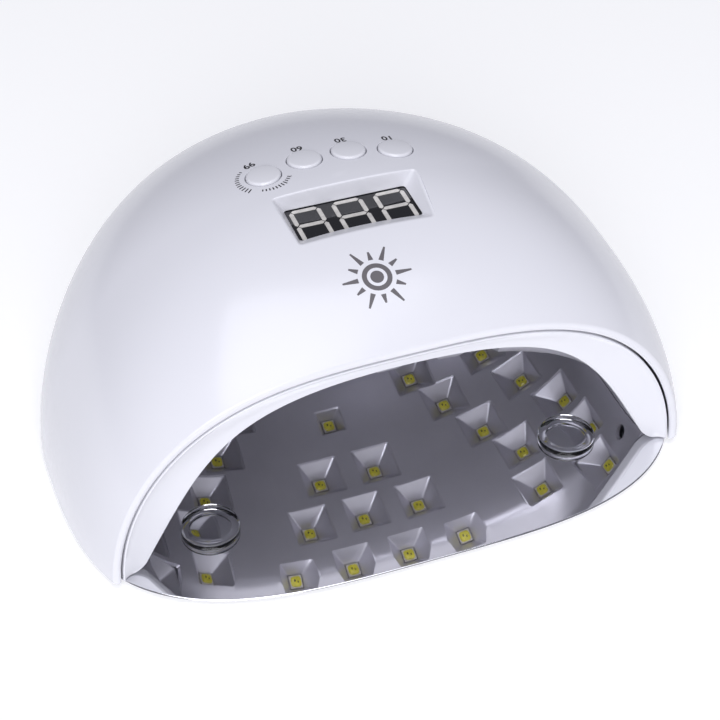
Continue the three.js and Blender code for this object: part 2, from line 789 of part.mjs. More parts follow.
function place(group, name, shape, material) {
  const geometry = shape.isBufferGeometry ? shape : geometryOf(shape);
  const mesh = new THREE.Mesh(geometry, material);
  mesh.name = name;
  group.add(mesh);
}

place(tray, 'base_tray', baseTray(), MATERIALS.mirrorSteel);
const footPlaces = {
  foot_front_left: [-FOOT.frontX, FOOT.frontY],
  foot_front_right: [FOOT.frontX, FOOT.frontY],
  foot_rear_left: [-FOOT.backX, FOOT.backY],
  foot_rear_right: [FOOT.backX, FOOT.backY],
};
for (const [name, [x, y]] of Object.entries(footPlaces)) {
  place(tray, name, trayFoot(x, y), MATERIALS.rubber);
}
place(tray, 'clear_pad_left', clearPad(-PAD.x, PAD.y), MATERIALS.clear);
place(tray, 'clear_pad_right', clearPad(PAD.x, PAD.y), MATERIALS.clear);

place(housing, 'top_shell', topShell(), MATERIALS.housing);
place(housing, 'front_rim', frontRim(), MATERIALS.housing);
place(housing, 'reflector_liner', reflectorLiner(), MATERIALS.reflector);
for (const [name, spots] of Object.entries(STRIPS)) {
  place(housing, name, ledStrip(spots), MATERIALS.circuit);
}
place(housing, 'hand_sensor_left', handSensor(-1), MATERIALS.blackPlastic);
place(housing, 'hand_sensor_right', handSensor(1), MATERIALS.blackPlastic);

place(housing, 'control_board', controlBoard(), MATERIALS.board);
place(housing, 'display_module', displayModule(), MATERIALS.blackPlastic);
place(housing, 'display_window', displayWindow(), MATERIALS.smoked);
for (const [name, [x, y]] of Object.entries(BUTTONS)) {
  place(housing, name, button(x, y), MATERIALS.housing);
  place(housing, name.replace('button', 'switch'), tactSwitch(x, y), MATERIALS.blackPlastic);
}
place(housing, 'dc_jack', dcJack(), MATERIALS.blackPlastic);
place(housing, 'power_lead', powerLead(), MATERIALS.blackPlastic);

const magnetBottom = LINER.flangeZ + LINER.flangeThick + GAP;
MAGNETS.forEach(([x, y], i) => {
  const disc = rod(x, y, MAGNET.radius, magnetBottom, magnetBottom + MAGNET.thick, 24);
  place(housing, `magnet_${i + 1}`, disc, MATERIALS.steel);
});
BOSSES.forEach(([x, y], i) => {
  const screw = panScrew(x, y, LINER.flangeZ - GAP, SCREW);
  place(housing, `housing_screw_${i + 1}`, screw, MATERIALS.steel);
});
let boardScrew = 0;
for (const x of [-BOARD.postX, BOARD.postX]) {
  for (const y of [-BOARD.postY, BOARD.postY]) {
    boardScrew += 1;
    const screw = panScrew(x, y, BOARD.z - GAP, BOARD_SCREW);
    place(housing, `board_screw_${boardScrew}`, screw, MATERIALS.steel);
  }
}

export default lamp;
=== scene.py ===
"""Looks for a desktop UV curing lamp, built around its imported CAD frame. Shapes are worked out in
millimetres, and each finished piece is scaled to metres. +Z is up and the open front faces -Y."""

import math

import bmesh
import bpy
import numpy as np
from mathutils import Matrix, Vector

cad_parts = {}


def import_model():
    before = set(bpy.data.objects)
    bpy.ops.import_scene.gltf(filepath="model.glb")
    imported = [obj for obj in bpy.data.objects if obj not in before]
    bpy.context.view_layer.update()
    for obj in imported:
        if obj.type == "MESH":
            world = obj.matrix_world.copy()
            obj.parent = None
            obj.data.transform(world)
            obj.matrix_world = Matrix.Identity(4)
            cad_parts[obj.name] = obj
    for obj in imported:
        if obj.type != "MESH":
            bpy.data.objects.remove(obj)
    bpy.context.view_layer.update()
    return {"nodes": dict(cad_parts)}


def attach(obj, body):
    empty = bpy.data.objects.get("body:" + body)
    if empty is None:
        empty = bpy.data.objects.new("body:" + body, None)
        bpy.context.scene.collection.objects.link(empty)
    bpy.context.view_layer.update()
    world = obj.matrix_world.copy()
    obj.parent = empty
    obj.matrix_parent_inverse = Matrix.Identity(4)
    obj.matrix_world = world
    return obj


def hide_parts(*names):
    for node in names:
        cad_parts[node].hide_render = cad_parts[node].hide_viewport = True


MM = 0.001
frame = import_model()

# ---------------------------------------------------------------- the housing's driving dimensions

GAP = 0.3
TRAY_TOP = 2.6
TRAY_BOTTOM = 1.6
BASE_Z = 2.9
HALF_WIDTH, FRONT_DEPTH, BACK_DEPTH, DOME_HEIGHT = 110.0, 98.8, 93.1, 94.0
CENTRE_Y, DOME_BASE, LEAN = -4.0, 2.0, 0.068
FRONT_CORNER, BACK_CORNER = 3.05, 1.95
SIDE_FADE, FRONT_FADE, BACK_FADE = (1.87, 2.62), (2.06, 1.93), (4.2, 1.75)
BACK_Y = CENTRE_Y + BACK_DEPTH - 0.0004
FRONT_Y = -64.5
SHELL_WALL = 2.6
RIM_GAP = 0.35                    # between the shell and the rim inside it
RIM_FLANGE, RIM_RETURN = 6.0, 3.7
TRAY = {"half_width": 109.4, "y": -1.5, "front": 87.6, "back": 90.0,
        "front_corner": 3.3, "back_corner": 1.9}
GLUE_LINE = 0.05                  # between the tray and what is stuck to it
PAD = {"x": 65, "y": -51, "radius": 10.0, "height": 2.4, "round": 0.9}
FEET = {"foot_front_left": (-84, -60), "foot_front_right": (84, -60),
        "foot_rear_left": (-60, 52), "foot_rear_right": (60, 52)}
CUTTER_REACH = 14.0               # how far up a cutter's sides are drawn to find the dome

MOUTH_Y, MOUTH_HALF_WIDTH, MOUTH_HEIGHT = -61.8, 91.0, 61.8
MOUTH_FOOT, MOUTH_SHOULDER = (67.5, 41.5), 62.0
ROOF_LINE = (
    (-62, 60.5), (-54, 52), (-48, 47.5), (-42, 44), (-24, 39.6), (-6, 35.4),
    (14, 29), (30, 21.5), (45, 12.5), (56, 5), (62, 1),
)
LINER_FRONT, LINER_BACK, LINER_HALF_WIDTH = -57.7, 63.4, 90.5
LINER_WALL = 1.4
FLANGE_Z, FLANGE_THICK = 6.0, 1.6

POCKET = {"opening": 14.6, "bottom": 5.4, "depth": 6.4, "wall": 1.2}
SMALL_POCKET = {"opening": 9.6, "bottom": 5.4, "depth": 4.6, "wall": 1.2}
STRIPS = {
    "led_strip_front": ((-62, -39), (-32, -44), (-10.7, -43), (10.7, -43), (32, -44), (62, -39)),
    "led_strip_middle": ((-62, -21), (-21, -24.5), (0, -24), (21, -24.5), (62, -21)),
    "led_strip_rear": ((-53.5, -5.5), (-10.7, -6), (10.7, -6), (53.5, -5.5)),
    "led_strip_crown": ((-44.5, 10.5), (0, 15), (44.5, 10.5)),
    "led_strip_back_left": ((-63.5, 21.5), (-36, 24)),
    "led_strip_back_right": ((36, 24), (63.5, 21.5)),
    "led_strip_side_left": ((-72, 5), (-80, -13), (-82, -31), (-81, -48)),
    "led_strip_side_right": ((72, 5), (80, -13), (82, -31), (81, -48)),
}
BUTTONS = {
    "button_double_power": (-23.3, 11.4),
    "button_60s": (-7.8, 15.0),
    "button_30s": (7.8, 15.0),
    "button_10s": (23.3, 11.4),
}
BUTTON_RADIUS, BUTTON_PROUD = 5.9, 0.9
BUTTON_SKIRT, BUTTON_FLANGE, BUTTON_STEM, STEM_LENGTH = 5.6, 7.2, 1.6, 5.0
DIGIT = {"width": 9.4, "height": 16.0, "pitch": 14.6, "stroke": 1.5, "space": 0.28}
MARKS = {"60": (-7.8, 23.2, 0.0), "30": (7.8, 23.2, 0.0), "10": (23.5, 19.6, 0.0),
         "99": (-25.6, 20.4, 0.25)}
MARK_SIZE = 4.2
WINDOW_TOP = 89.1
WINDOW = {"half_x": 21.0, "back": -2.9, "front": -19.6, "bow": 1.5}
RECESS = {"side": 0.667, "back": 0.05, "front": 2.0, "wall": 1.5, "floor": 89.4}
BOSSES = ((-99, 18), (99, 18), (-28, 74), (28, 74))
JACK_Z = 20.0
SENSOR_Y, SENSOR_Z, SENSOR_HOLE = -48.0, 10.0, 2.6
VENT_COUNT, VENT_PITCH, VENT_WIDTH, VENT_Z, VENT_HEIGHT = 8, 8.0, 2.2, 44.0, 14.0

# ---------------------------------------------------------------- mesh helpers


def add_object(name, data):
    obj = bpy.data.objects.new(name, data)
    bpy.context.scene.collection.objects.link(obj)
    return obj


def mesh_object(name, bm):
    mesh = bpy.data.meshes.new(name)
    bm.to_mesh(mesh)
    bm.free()
    return add_object(name, mesh)


def new_object(name, verts, faces):
    mesh = bpy.data.meshes.new(name)
    mesh.from_pydata([tuple(v) for v in verts], [], faces)
    mesh.validate()
    mesh.update()
    return add_object(name, mesh)


def outward(obj):
    bm = bmesh.new()
    bm.from_mesh(obj.data)
    bmesh.ops.remove_doubles(bm, verts=bm.verts, dist=1e-5)
    bmesh.ops.recalc_face_normals(bm, faces=bm.faces)
    bm.to_mesh(obj.data)
    bm.free()
    return obj


def grid_faces(rows, columns, wrap_columns=False, first=0):
    faces = []
    count = columns if wrap_columns else columns - 1
    for j in range(rows - 1):
        for i in range(count):
            a = first + j * columns + i
            b = first + j * columns + (i + 1) % columns
            faces.append((a, b, b + columns, a + columns))
    return faces


def loft(name, rings):
    """A closed solid through rings of equal length."""
    columns = len(rings[0])
    verts = [p for ring in rings for p in ring]
    faces = grid_faces(len(rings), columns, wrap_columns=True)
    faces.append(tuple(reversed(range(columns))))
    last = (len(rings) - 1) * columns
    faces.append(tuple(range(last, last + columns)))
    return outward(new_object(name, verts, faces))


def lathe(name, profile, steps=64, place=None):
    """A turned solid. The profile is (radius, height) from axis to axis; place moves it."""
    rings = []
    for radius, height in profile:
        if radius < 1e-6:
            rings.append([(0.0, 0.0, height)])
            continue
        angles = [2 * math.pi * k / steps for k in range(steps)]
        rings.append([(radius * math.cos(a), radius * math.sin(a), height) for a in angles])
    verts, faces, starts = [], [], []
    for ring in rings:
        starts.append(len(verts))
        verts.extend(ring)
    for j in range(len(rings) - 1):
        a, b = starts[j], starts[j + 1]
        for k in range(steps):
            n = (k + 1) % steps
            if len(rings[j]) == 1 and len(rings[j + 1]) == 1:
                continue
            if len(rings[j]) == 1:
                faces.append((a, b + n, b + k))
            elif len(rings[j + 1]) == 1:
                faces.append((a + k, a + n, b))
            else:
                faces.append((a + k, a + n, b + n, b + k))
    obj = outward(new_object(name, verts, faces))
    if place is not None:
        obj.data.transform(place)
    return obj


def block(name, low, high, frame_matrix=None, bevel=0.0):
    """A box between two corners, with rounded edges when it has a bevel."""
    bm = bmesh.new()
    bmesh.ops.create_cube(bm, size=1.0)
    size = Vector(high) - Vector(low)
    centre = (Vector(high) + Vector(low)) / 2
    bmesh.ops.scale(bm, vec=size, verts=bm.verts)
    bmesh.ops.translate(bm, vec=centre, verts=bm.verts)
    if bevel > 0:
        bmesh.ops.bevel(bm, geom=bm.edges[:], offset=bevel, segments=3, profile=0.5,
                        affect="EDGES")
    if frame_matrix is not None:
        bmesh.ops.transform(bm, matrix=frame_matrix, verts=bm.verts)
    return mesh_object(name, bm)


def join(name, objects):
    """One object with all their meshes and materials."""
    bm = bmesh.new()
    materials = []
    for obj in objects:
        start = len(bm.faces)
        bm.from_mesh(obj.data)
        bm.faces.ensure_lookup_table()
        slots = [m for m in obj.data.materials]
        for m in slots:
            if m not in materials:
                materials.append(m)
        for face in bm.faces[start:]:
            if slots:
                face.material_index = materials.index(slots[face.material_index])
        bpy.data.objects.remove(obj)
    joined = mesh_object(name, bm)
    for m in materials:
        joined.data.materials.append(m)
    return joined


def boolean(target, cutter, operation):
    modifier = target.modifiers.new("boolean", "BOOLEAN")
    modifier.operation = operation
    modifier.object = cutter
    modifier.solver = "MANIFOLD"
    bpy.context.view_layer.update()
    graph = bpy.context.evaluated_depsgraph_get()
    mesh = bpy.data.meshes.new_from_object(target.evaluated_get(graph))
    target.modifiers.clear()
    mesh.materials.clear()
    if len(mesh.polygons) == 0:
        raise RuntimeError(f"boolean {operation} of {cutter.name} left nothing of {target.name}")
    target.data = mesh
    bpy.data.objects.remove(cutter)
    return target


def bisect(inside, low, high, steps=50):
    """The last value from low to high that is still inside, for numbers or arrays."""
    for _ in range(steps):
        middle = (low + high) / 2
        ok = inside(middle)
        low, high = np.where(ok, middle, low), np.where(ok, high, middle)
    return low


def unit(rows):
    return rows / np.linalg.norm(rows, axis=1)[:, None]


def surface_points(field, points, lift=0.0):
    """Moves points along a field's gradient until the field is zero, then off it by the lift."""
    p = np.array(points, float)
    for _ in range(12):
        g = gradient(field, p)
        step = g * (field(p) / (g * g).sum(1))[:, None]
        length = np.linalg.norm(step, axis=1)
        p -= step / np.maximum(length, 1.0)[:, None]
    g = gradient(field, p)
    return p + unit(g) * np.asarray(lift).reshape(-1, 1)


def gradient(field, p, step=0.02):
    g = np.zeros_like(p)
    for k in range(3):
        shift = np.zeros(3)
        shift[k] = step
        g[:, k] = (field(p + shift) - field(p - shift)) / (2 * step)
    return g


def crossing(field, low, high):
    """Where the lines from low, inside the field, to high leave it."""
    t = bisect(lambda t: field(low + (high - low) * t[:, None]) < 0,
               np.zeros(len(low)), np.ones(len(low)))
    return low + (high - low) * t[:, None]


def finish_piece(obj, body, materials=(), replaces=(), angle=32.0, fields=()):
    """Scales to metres, sets smooth shading and the surface's own normals, and files the piece."""
    obj.data.transform(Matrix.Scale(MM, 4))
    mesh = obj.data
    mesh.polygons.foreach_set("use_smooth", [True] * len(mesh.polygons))
    mesh.set_sharp_from_angle(angle=math.radians(angle))
    for material in materials:
        mesh.materials.append(material)
    if fields:
        exact_normals(mesh, fields)
    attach(obj, body)
    if replaces:
        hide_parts(*replaces)
    return obj


def exact_normals(mesh, fields, tolerance=0.04, limit=35.0):
    """Gives each corner that lies on a true surface that surface's own normal."""
    co = np.zeros(len(mesh.vertices) * 3)
    mesh.vertices.foreach_get("co", co)
    co = co.reshape(-1, 3) / MM
    index = np.zeros(len(mesh.loops), int)
    mesh.loops.foreach_get("vertex_index", index)
    corners = np.zeros(len(mesh.loops) * 3)
    mesh.corner_normals.foreach_get("vector", corners)
    corners = corners.reshape(-1, 3)
    for field in fields:
        g = gradient(field, co)
        length = np.maximum(np.linalg.norm(g, axis=1), 1e-9)
        on = np.abs(field(co)) / length < tolerance
        normal = g / length[:, None]
        dot = (corners * normal[index]).sum(1)
        take = on[index] & (np.abs(dot) > math.cos(math.radians(limit)))
        corners[take] = (normal[index] * np.sign(dot)[:, None])[take]
    mesh.normals_split_custom_set([tuple(n) for n in corners])


# ---------------------------------------------------------------- the forms as fields


def fade(t, curve):
    return np.maximum(1 - np.clip(t, 0, 1) ** curve[0], 1e-12) ** (1 / curve[1])


def dome_ratio(x, y, z, inset=0.0):
    """Below 1 inside the dome, 1 on it."""
    up = np.maximum(z - DOME_BASE, 0)
    t = up / (DOME_HEIGHT - inset)
    along = y - CENTRE_Y - LEAN * up * t
    is_front = along < 0
    corner = np.where(is_front, FRONT_CORNER, BACK_CORNER)
    front = (FRONT_DEPTH - inset) * fade(t, FRONT_FADE)
    back = (BACK_DEPTH - inset) * fade(t, BACK_FADE)
    depth = np.where(is_front, front, back)
    width = (HALF_WIDTH - inset) * fade(t, SIDE_FADE)
    ratio = ((np.abs(x) / width) ** corner + (np.abs(along) / depth) ** corner) ** (1 / corner)
    return np.where(t >= 1, 1 + t, ratio)


def dome_field(inset=0.0):
    return lambda p: (dome_ratio(p[:, 0], p[:, 1], p[:, 2], inset) - 1) * 80


def dome_top(x, y):
    low = np.full(np.shape(x), DOME_BASE)
    return bisect(lambda z: dome_ratio(x, y, z) < 1, low, low + DOME_HEIGHT)


def reach(inside, y, angle, limit=170.0):
    """Distance from the middle of the base line to where the test first fails, for arrays."""
    y, angle = np.broadcast_arrays(np.asarray(y, float), np.asarray(angle, float))
    return bisect(lambda r: inside(r * np.cos(angle), y, BASE_Z + r * np.sin(angle)),
                  np.zeros(y.shape), np.full(y.shape, limit))


def dome_radius(y, angle, inset=0.0):
    return reach(lambda x, py, z: dome_ratio(x, py, z, inset) < 1, y, angle)


def mouth_curve():
    """Angle and distance of many points along one half of the mouth's arch."""
    t = np.linspace(0, 1, 2001)
    a = (MOUTH_HALF_WIDTH, 0.0)
    d = (0.0, MOUTH_HEIGHT)
    c = (MOUTH_SHOULDER, MOUTH_HEIGHT)
    x, z = (
        a[k] * (1 - t) ** 3 + 3 * MOUTH_FOOT[k] * (1 - t) ** 2 * t
        + 3 * c[k] * (1 - t) * t ** 2 + d[k] * t ** 3 for k in (0, 1)
    )
    return np.arctan2(z, x), np.hypot(x, z)


MOUTH_ANGLES, MOUTH_RADII = mouth_curve()


def mouth_radius(angle):
    wanted = np.where(angle > math.pi / 2, math.pi - angle, angle)
    return np.interp(wanted, MOUTH_ANGLES, MOUTH_RADII)


def roof_table():
    """The reflector's roof line as a Catmull-Rom curve through its points, by y."""
    points = np.array(ROOF_LINE, float)
    ys, hs = [], []
    for k in range(len(points) - 1):
        p0, p1 = points[max(k - 1, 0)], points[k]
        p2, p3 = points[k + 1], points[min(k + 2, len(points) - 1)]
        for t in np.linspace(0, 1, 40, endpoint=k == len(points) - 2):
            v0, v1 = (p2 - p0) / 2, (p3 - p1) / 2
            q = ((2 * p1 - 2 * p2 + v0 + v1) * t ** 3 + (-3 * p1 + 3 * p2 - 2 * v0 - v1) * t ** 2
                 + v0 * t + p1)
            ys.append(q[0])
            hs.append(q[1])
    return np.array(ys), np.array(hs)


ROOF_Y, ROOF_H = roof_table()


def liner_radius(y, angle):
    y, angle = np.broadcast_arrays(np.asarray(y, float), np.asarray(angle, float))
    t = np.clip((y + 14) / 78, 0, 0.999)
    width = LINER_HALF_WIDTH * (1 - t ** 2.4) ** (1 / 2.2)
    height = np.maximum(np.interp(y, ROOF_Y, ROOF_H), 0.3)

    def inside(x, _, z):
        return (np.abs(x) / width) ** 2.6 + (np.maximum(z - BASE_Z, 0) / height) ** 1.6 < 1

    vault = reach(inside, y, angle)
    s = np.clip((y - LINER_FRONT) / 14, 0, 1)
    s = s * s * (3 - 2 * s)
    return (mouth_radius(angle) + 0.4) * (1 - s) + vault * s


def liner_field(p):
    angle = np.arctan2(np.maximum(p[:, 2] - BASE_Z, 0), p[:, 0])
    return np.hypot(p[:, 0], p[:, 2] - BASE_Z) - liner_radius(p[:, 1], angle)


def liner_at(y, angle):
    radius = float(liner_radius(y, angle))
    return Vector((radius * math.cos(angle), y, BASE_Z + radius * math.sin(angle)))


def liner_point(x, y):
    return liner_at(y, float(bisect(lambda a: liner_at(y, a).x > x, 0.0, math.pi, 40)))


def pocket_frame(x, y):
    """A frame on the reflector's wall: Z points out of the chamber, X across, Y to the back."""
    point = liner_point(x, y)
    angle = math.atan2(point.z - BASE_Z, point.x)
    across = (liner_at(y, angle - 0.01) - liner_at(y, angle + 0.01)).normalized()
    ahead = (liner_point(x, y + 0.8) - liner_point(x, y - 0.8)).normalized()
    out = across.cross(ahead).normalized()
    back = out.cross(across).normalized()
    matrix = Matrix((across, back, out)).transposed().to_4x4()
    matrix.translation = point
    return matrix


def pocket_of(x, y):
    return SMALL_POCKET if x == 0 and y > 0 else POCKET


# ---------------------------------------------------------------- materials


class Nodes:
    """Short calls for building one material's node tree."""

    def __init__(self, name):
        self.material = bpy.data.materials.new(name)
        self.material.use_nodes = True
        self.tree = self.material.node_tree
        self.bsdf = self.tree.nodes["Principled BSDF"]
        self.coord = self.add("ShaderNodeTexCoord").outputs["Object"]

    def add(self, kind, **values):
        node = self.tree.nodes.new(kind)
        for key, value in values.items():
            setattr(node, key, value)
        return node

    def link(self, a, b):
        self.tree.links.new(a, b)

    def noise(self, scale, detail=3.0, rough=0.55, stretch=None):
        source = self.coord
        if stretch is not None:
            mapping = self.add("ShaderNodeMapping")
            mapping.inputs["Scale"].default_value = stretch
            self.link(source, mapping.inputs["Vector"])
            source = mapping.outputs["Vector"]
        node = self.add("ShaderNodeTexNoise")
        node.inputs["Scale"].default_value = scale
        node.inputs["Detail"].default_value = detail
        node.inputs["Roughness"].default_value = rough
        self.link(source, node.inputs["Vector"])
        return node.outputs["Fac"]

    def spread(self, fac, low, high, start=0.3, end=0.7):
        node = self.add("ShaderNodeMapRange")
        node.inputs["From Min"].default_value = start
        node.inputs["From Max"].default_value = end
        node.inputs["To Min"].default_value = low
        node.inputs["To Max"].default_value = high
        self.link(fac, node.inputs["Value"])
        return node.outputs["Result"]

    def ramp(self, fac, stops):
        node = self.add("ShaderNodeValToRGB")
        elements = node.color_ramp.elements
        while len(elements) < len(stops):
            elements.new(0.5)
        for element, (position, color) in zip(elements, stops):
            element.position = position
            element.color = (*color, 1)
        self.link(fac, node.inputs["Fac"])
        return node.outputs["Color"]

    def bump(self, height, strength, distance):
        node = self.add("ShaderNodeBump")
        node.inputs["Strength"].default_value = strength
        node.inputs["Distance"].default_value = distance
        self.link(height, node.inputs["Height"])
        self.link(node.outputs["Normal"], self.bsdf.inputs["Normal"])

    def set(self, **values):
        for key, value in values.items():
            self.bsdf.inputs[key.replace("_", " ")].default_value = value


def surface_material(name, color, rough, metal=0.0, tint=0.03, grain=900.0, bump=0.03,
                     blotch=18.0, stretch=None, **more):
    """A surface with slow colour drift, roughness drift and a fine surface texture."""
    n = Nodes(name)
    drift = n.noise(blotch, 4.0)
    dark = tuple(c * (1 - tint) for c in color)
    light = tuple(min(1.0, c * (1 + tint)) for c in color)
    n.link(n.ramp(drift, [(0.3, dark), (0.7, light)]), n.bsdf.inputs["Base Color"])
    fine = n.noise(grain, 3.0, 0.6, stretch)
    n.link(n.spread(fine, rough[0], rough[1]), n.bsdf.inputs["Roughness"])
    n.set(Metallic=metal, **more)
    n.bump(fine, bump, 0.0002)
    return n.material


shell_white = surface_material(
    "shell_white", (0.80, 0.80, 0.845), (0.20, 0.27), tint=0.012, grain=420.0, bump=0.012,
    blotch=9.0, Coat_Weight=0.15, Coat_Roughness=0.12)
rim_white = surface_material(
    "rim_white", (0.83, 0.83, 0.875), (0.16, 0.24), tint=0.012, grain=520.0, bump=0.015)
button_white = surface_material(
    "button_white", (0.80, 0.80, 0.84), (0.14, 0.22), tint=0.01, grain=700.0, bump=0.012)
reflector_satin = surface_material(
    "reflector_satin", (0.66, 0.65, 0.71), (0.30, 0.40), metal=0.6, tint=0.05,
    grain=800.0, bump=0.05, blotch=30.0)
mirror_steel = surface_material(
    "mirror_steel", (0.83, 0.83, 0.85), (0.015, 0.045), metal=1.0, tint=0.01, grain=160.0,
    bump=0.002, blotch=12.0, stretch=(1.0, 14.0, 1.0))
black_plastic = surface_material(
    "black_plastic", (0.018, 0.018, 0.020), (0.30, 0.48), tint=0.15, grain=1500.0, bump=0.08)
board_green = surface_material(
    "board_green", (0.03, 0.16, 0.08), (0.25, 0.45), tint=0.12, grain=600.0, bump=0.06)
strip_white = surface_material(
    "strip_white", (0.78, 0.76, 0.70), (0.35, 0.5), tint=0.05, grain=900.0, bump=0.05)
led_body = surface_material(
    "led_body", (0.70, 0.67, 0.62), (0.30, 0.42), tint=0.04, grain=1600.0, bump=0.05)
phosphor = surface_material(
    "phosphor", (0.80, 0.73, 0.06), (0.22, 0.36), tint=0.16, grain=2600.0, bump=0.08,
    blotch=700.0, Coat_Weight=0.5, Coat_Roughness=0.15)
led_dark = surface_material(
    "led_dark", (0.10, 0.095, 0.02), (0.3, 0.4), tint=0.1, grain=2000.0)
window_black = surface_material(
    "window_black", (0.008, 0.008, 0.010), (0.05, 0.09), tint=0.2, grain=500.0, bump=0.006,
    Coat_Weight=0.6, Coat_Roughness=0.04)
segment_pale = surface_material(
    "segment_pale", (0.62, 0.60, 0.57), (0.28, 0.42), tint=0.16, grain=1800.0, bump=0.08,
    blotch=420.0)
print_grey = surface_material(
    "print_grey", (0.135, 0.125, 0.135), (0.32, 0.45), tint=0.10, grain=1400.0, bump=0.04)
print_black = surface_material(
    "print_black", (0.028, 0.026, 0.030), (0.35, 0.5), tint=0.2, grain=1400.0, bump=0.04)
rubber_black = surface_material(
    "rubber_black", (0.025, 0.025, 0.026), (0.6, 0.8), tint=0.2, grain=1200.0, bump=0.25)
zinc = surface_material(
    "zinc", (0.55, 0.55, 0.56), (0.25, 0.42), metal=1.0, tint=0.08, grain=900.0, bump=0.06,
    stretch=(1.0, 1.0, 6.0))
nickel = surface_material(
    "nickel", (0.66, 0.64, 0.60), (0.14, 0.24), metal=1.0, tint=0.05, grain=900.0, bump=0.03)
clear_gel = surface_material(
    "clear_gel", (0.96, 0.965, 0.975), (0.02, 0.06), tint=0.01, grain=300.0, bump=0.02,
    Transmission_Weight=1.0, IOR=1.36)

# ---------------------------------------------------------------- top shell


def arc_angles(count, edge_heights, radius):
    """Angles round an arch, with extra ones just above the base line."""
    low = [h / radius for h in edge_heights]
    start = low[-1] * 1.5
    even = np.linspace(0, math.pi, count + 1)
    middle = [a for a in even if start < a < math.pi - start]
    return np.array(low + middle + [math.pi - a for a in reversed(low)])


def sine_planes(front, back, count):
    return front + (back - front) * np.sin(math.pi / 2 * np.linspace(0, 1, count + 1))


def shell_body():
    """The dome's wall as one closed grid: outer skin, rounded front edge, inner skin."""
    base_round, edge_round = 0.9, 1.25
    heights = (0.0, 0.05, 0.15, 0.3, 0.5, 0.7, 0.9, 1.3)
    angles = arc_angles(168, heights, 104.0)
    outer_planes = sine_planes(FRONT_Y + edge_round, BACK_Y, 110)
    inner_planes = sine_planes(FRONT_Y + edge_round, BACK_Y - SHELL_WALL, 60)

    profile = []
    for y in outer_planes[::-1]:
        radius = dome_radius(y, angles)
        height = radius * np.sin(angles)
        low = np.clip(base_round - height, 0, base_round)
        shrink = base_round - np.sqrt(base_round ** 2 - low ** 2)
        profile.append((y, radius - np.where(y > outer_planes[-8], 0, shrink)))
    y0 = outer_planes[0]
    outer, inner = profile[-1][1], dome_radius(y0, angles, SHELL_WALL)
    middle, half = (outer + inner) / 2, (outer - inner) / 2
    slope = (dome_radius(y0 + 1, angles) - dome_radius(y0, angles))
    for a in np.linspace(0, math.pi, 15)[1:-1]:
        forward = edge_round * math.sin(a)
        profile.append((y0 - forward, middle + half * math.cos(a) - slope * forward * 0.5))
    for y in inner_planes:
        profile.append((y, dome_radius(y, angles, SHELL_WALL)))

    verts = []
    for y, radius in profile:
        xs, zs = radius * np.cos(angles), BASE_Z + radius * np.sin(angles)
        verts.extend(zip(xs, np.full(len(angles), y), zs))
    rows, columns = len(profile), len(angles)
    faces = grid_faces(rows, columns)
    # the flat bottom edge, from the outer skin to the inner one, on each side
    for column in (0, columns - 1):
        loop = [j * columns + column for j in range(rows)]
        faces.append(tuple(loop))
    faces.append(tuple(range(columns)))
    last = (rows - 1) * columns
    faces.append(tuple(range(last, last + columns)))
    faces.append((0, columns - 1, last + columns - 1, last))
    obj = new_object("shell", verts, faces)
    bm = bmesh.new()
    bm.from_mesh(obj.data)
    bmesh.ops.triangulate(bm, faces=[f for f in bm.faces if len(f.verts) > 4])
    bmesh.ops.recalc_face_normals(bm, faces=bm.faces)
    bm.to_mesh(obj.data)
    bm.free()
    return obj


def rounded_ring(corners, radius, steps=7):
    """A closed outline with its marked corners rounded: corners are (x, y, is_round)."""
    points = []
    count = len(corners)
    for k, (x, y, is_round) in enumerate(corners):
        here = Vector((x, y))
        if not is_round:
            points.append(here)
            continue
        before = (Vector(corners[k - 1][:2]) - here).normalized() * radius
        after = (Vector(corners[(k + 1) % count][:2]) - here).normalized() * radius
        for s in range(steps):
            t = s / (steps - 1)
            points.append(here + before * (1 - t) ** 2 + after * t ** 2)
    return points


def recess_ring(z, grow=0.0, corner=1.3):
    """Outline of the display recess at one height."""
    rise = z - WINDOW_TOP
    half = WINDOW["half_x"] + RECESS["side"] * rise + grow
    back = WINDOW["back"] + RECESS["back"] * rise + grow
    front = WINDOW["front"] - RECESS["front"] * rise - grow
    corners = []
    for k in range(13):
        t = 1 - 2 * k / 12
        corners.append((t * half, back, k in (0, 12)))
    for k in range(13):
        t = -1 + 2 * k / 12
        corners.append((t * half, front + WINDOW["bow"] * (1 - t * t), k in (0, 12)))
    ring = rounded_ring(corners, corner)
    return np.array([(p.x, p.y, z) for p in ring])


def flared_cutter(name, ring_at, bottom, fillet, lift=6.0):
    """A cutter for a hole in the dome, whose edge rounds over into the dome's surface.
    ring_at(z) is the hole's outline at one height; the walls between heights are straight."""
    low, high = ring_at(bottom), ring_at(bottom + CUTTER_REACH)
    field = dome_field()
    meet = crossing(field, low, high)
    wall = unit(high - low)
    normal = unit(gradient(field, meet))
    tangent = np.roll(meet, -1, 0) - np.roll(meet, 1, 0)
    away = unit(np.cross(tangent, normal))
    away *= np.sign(((meet - meet.mean(0)) * away).sum(1))[:, None]
    start = meet - wall * fillet
    end = surface_points(field, meet + away * fillet)
    rings = [low]
    for t in np.linspace(0, 1, 7):
        rings.append(start * (1 - t) ** 2 + 2 * meet * t * (1 - t) + end * t ** 2)
    end_normal = unit(gradient(field, end))
    rings.append(end + end_normal * 0.15 + away * 0.02)
    rings.append(end + end_normal * 0.15 + np.array((0, 0, lift)))
    return loft(name, rings)


def circle_ring(x, y, radius, steps=72):
    angles = np.linspace(0, 2 * math.pi, steps, endpoint=False)
    return lambda z: np.stack(
        (x + radius * np.cos(angles), y + radius * np.sin(angles), np.full(steps, z)), 1)


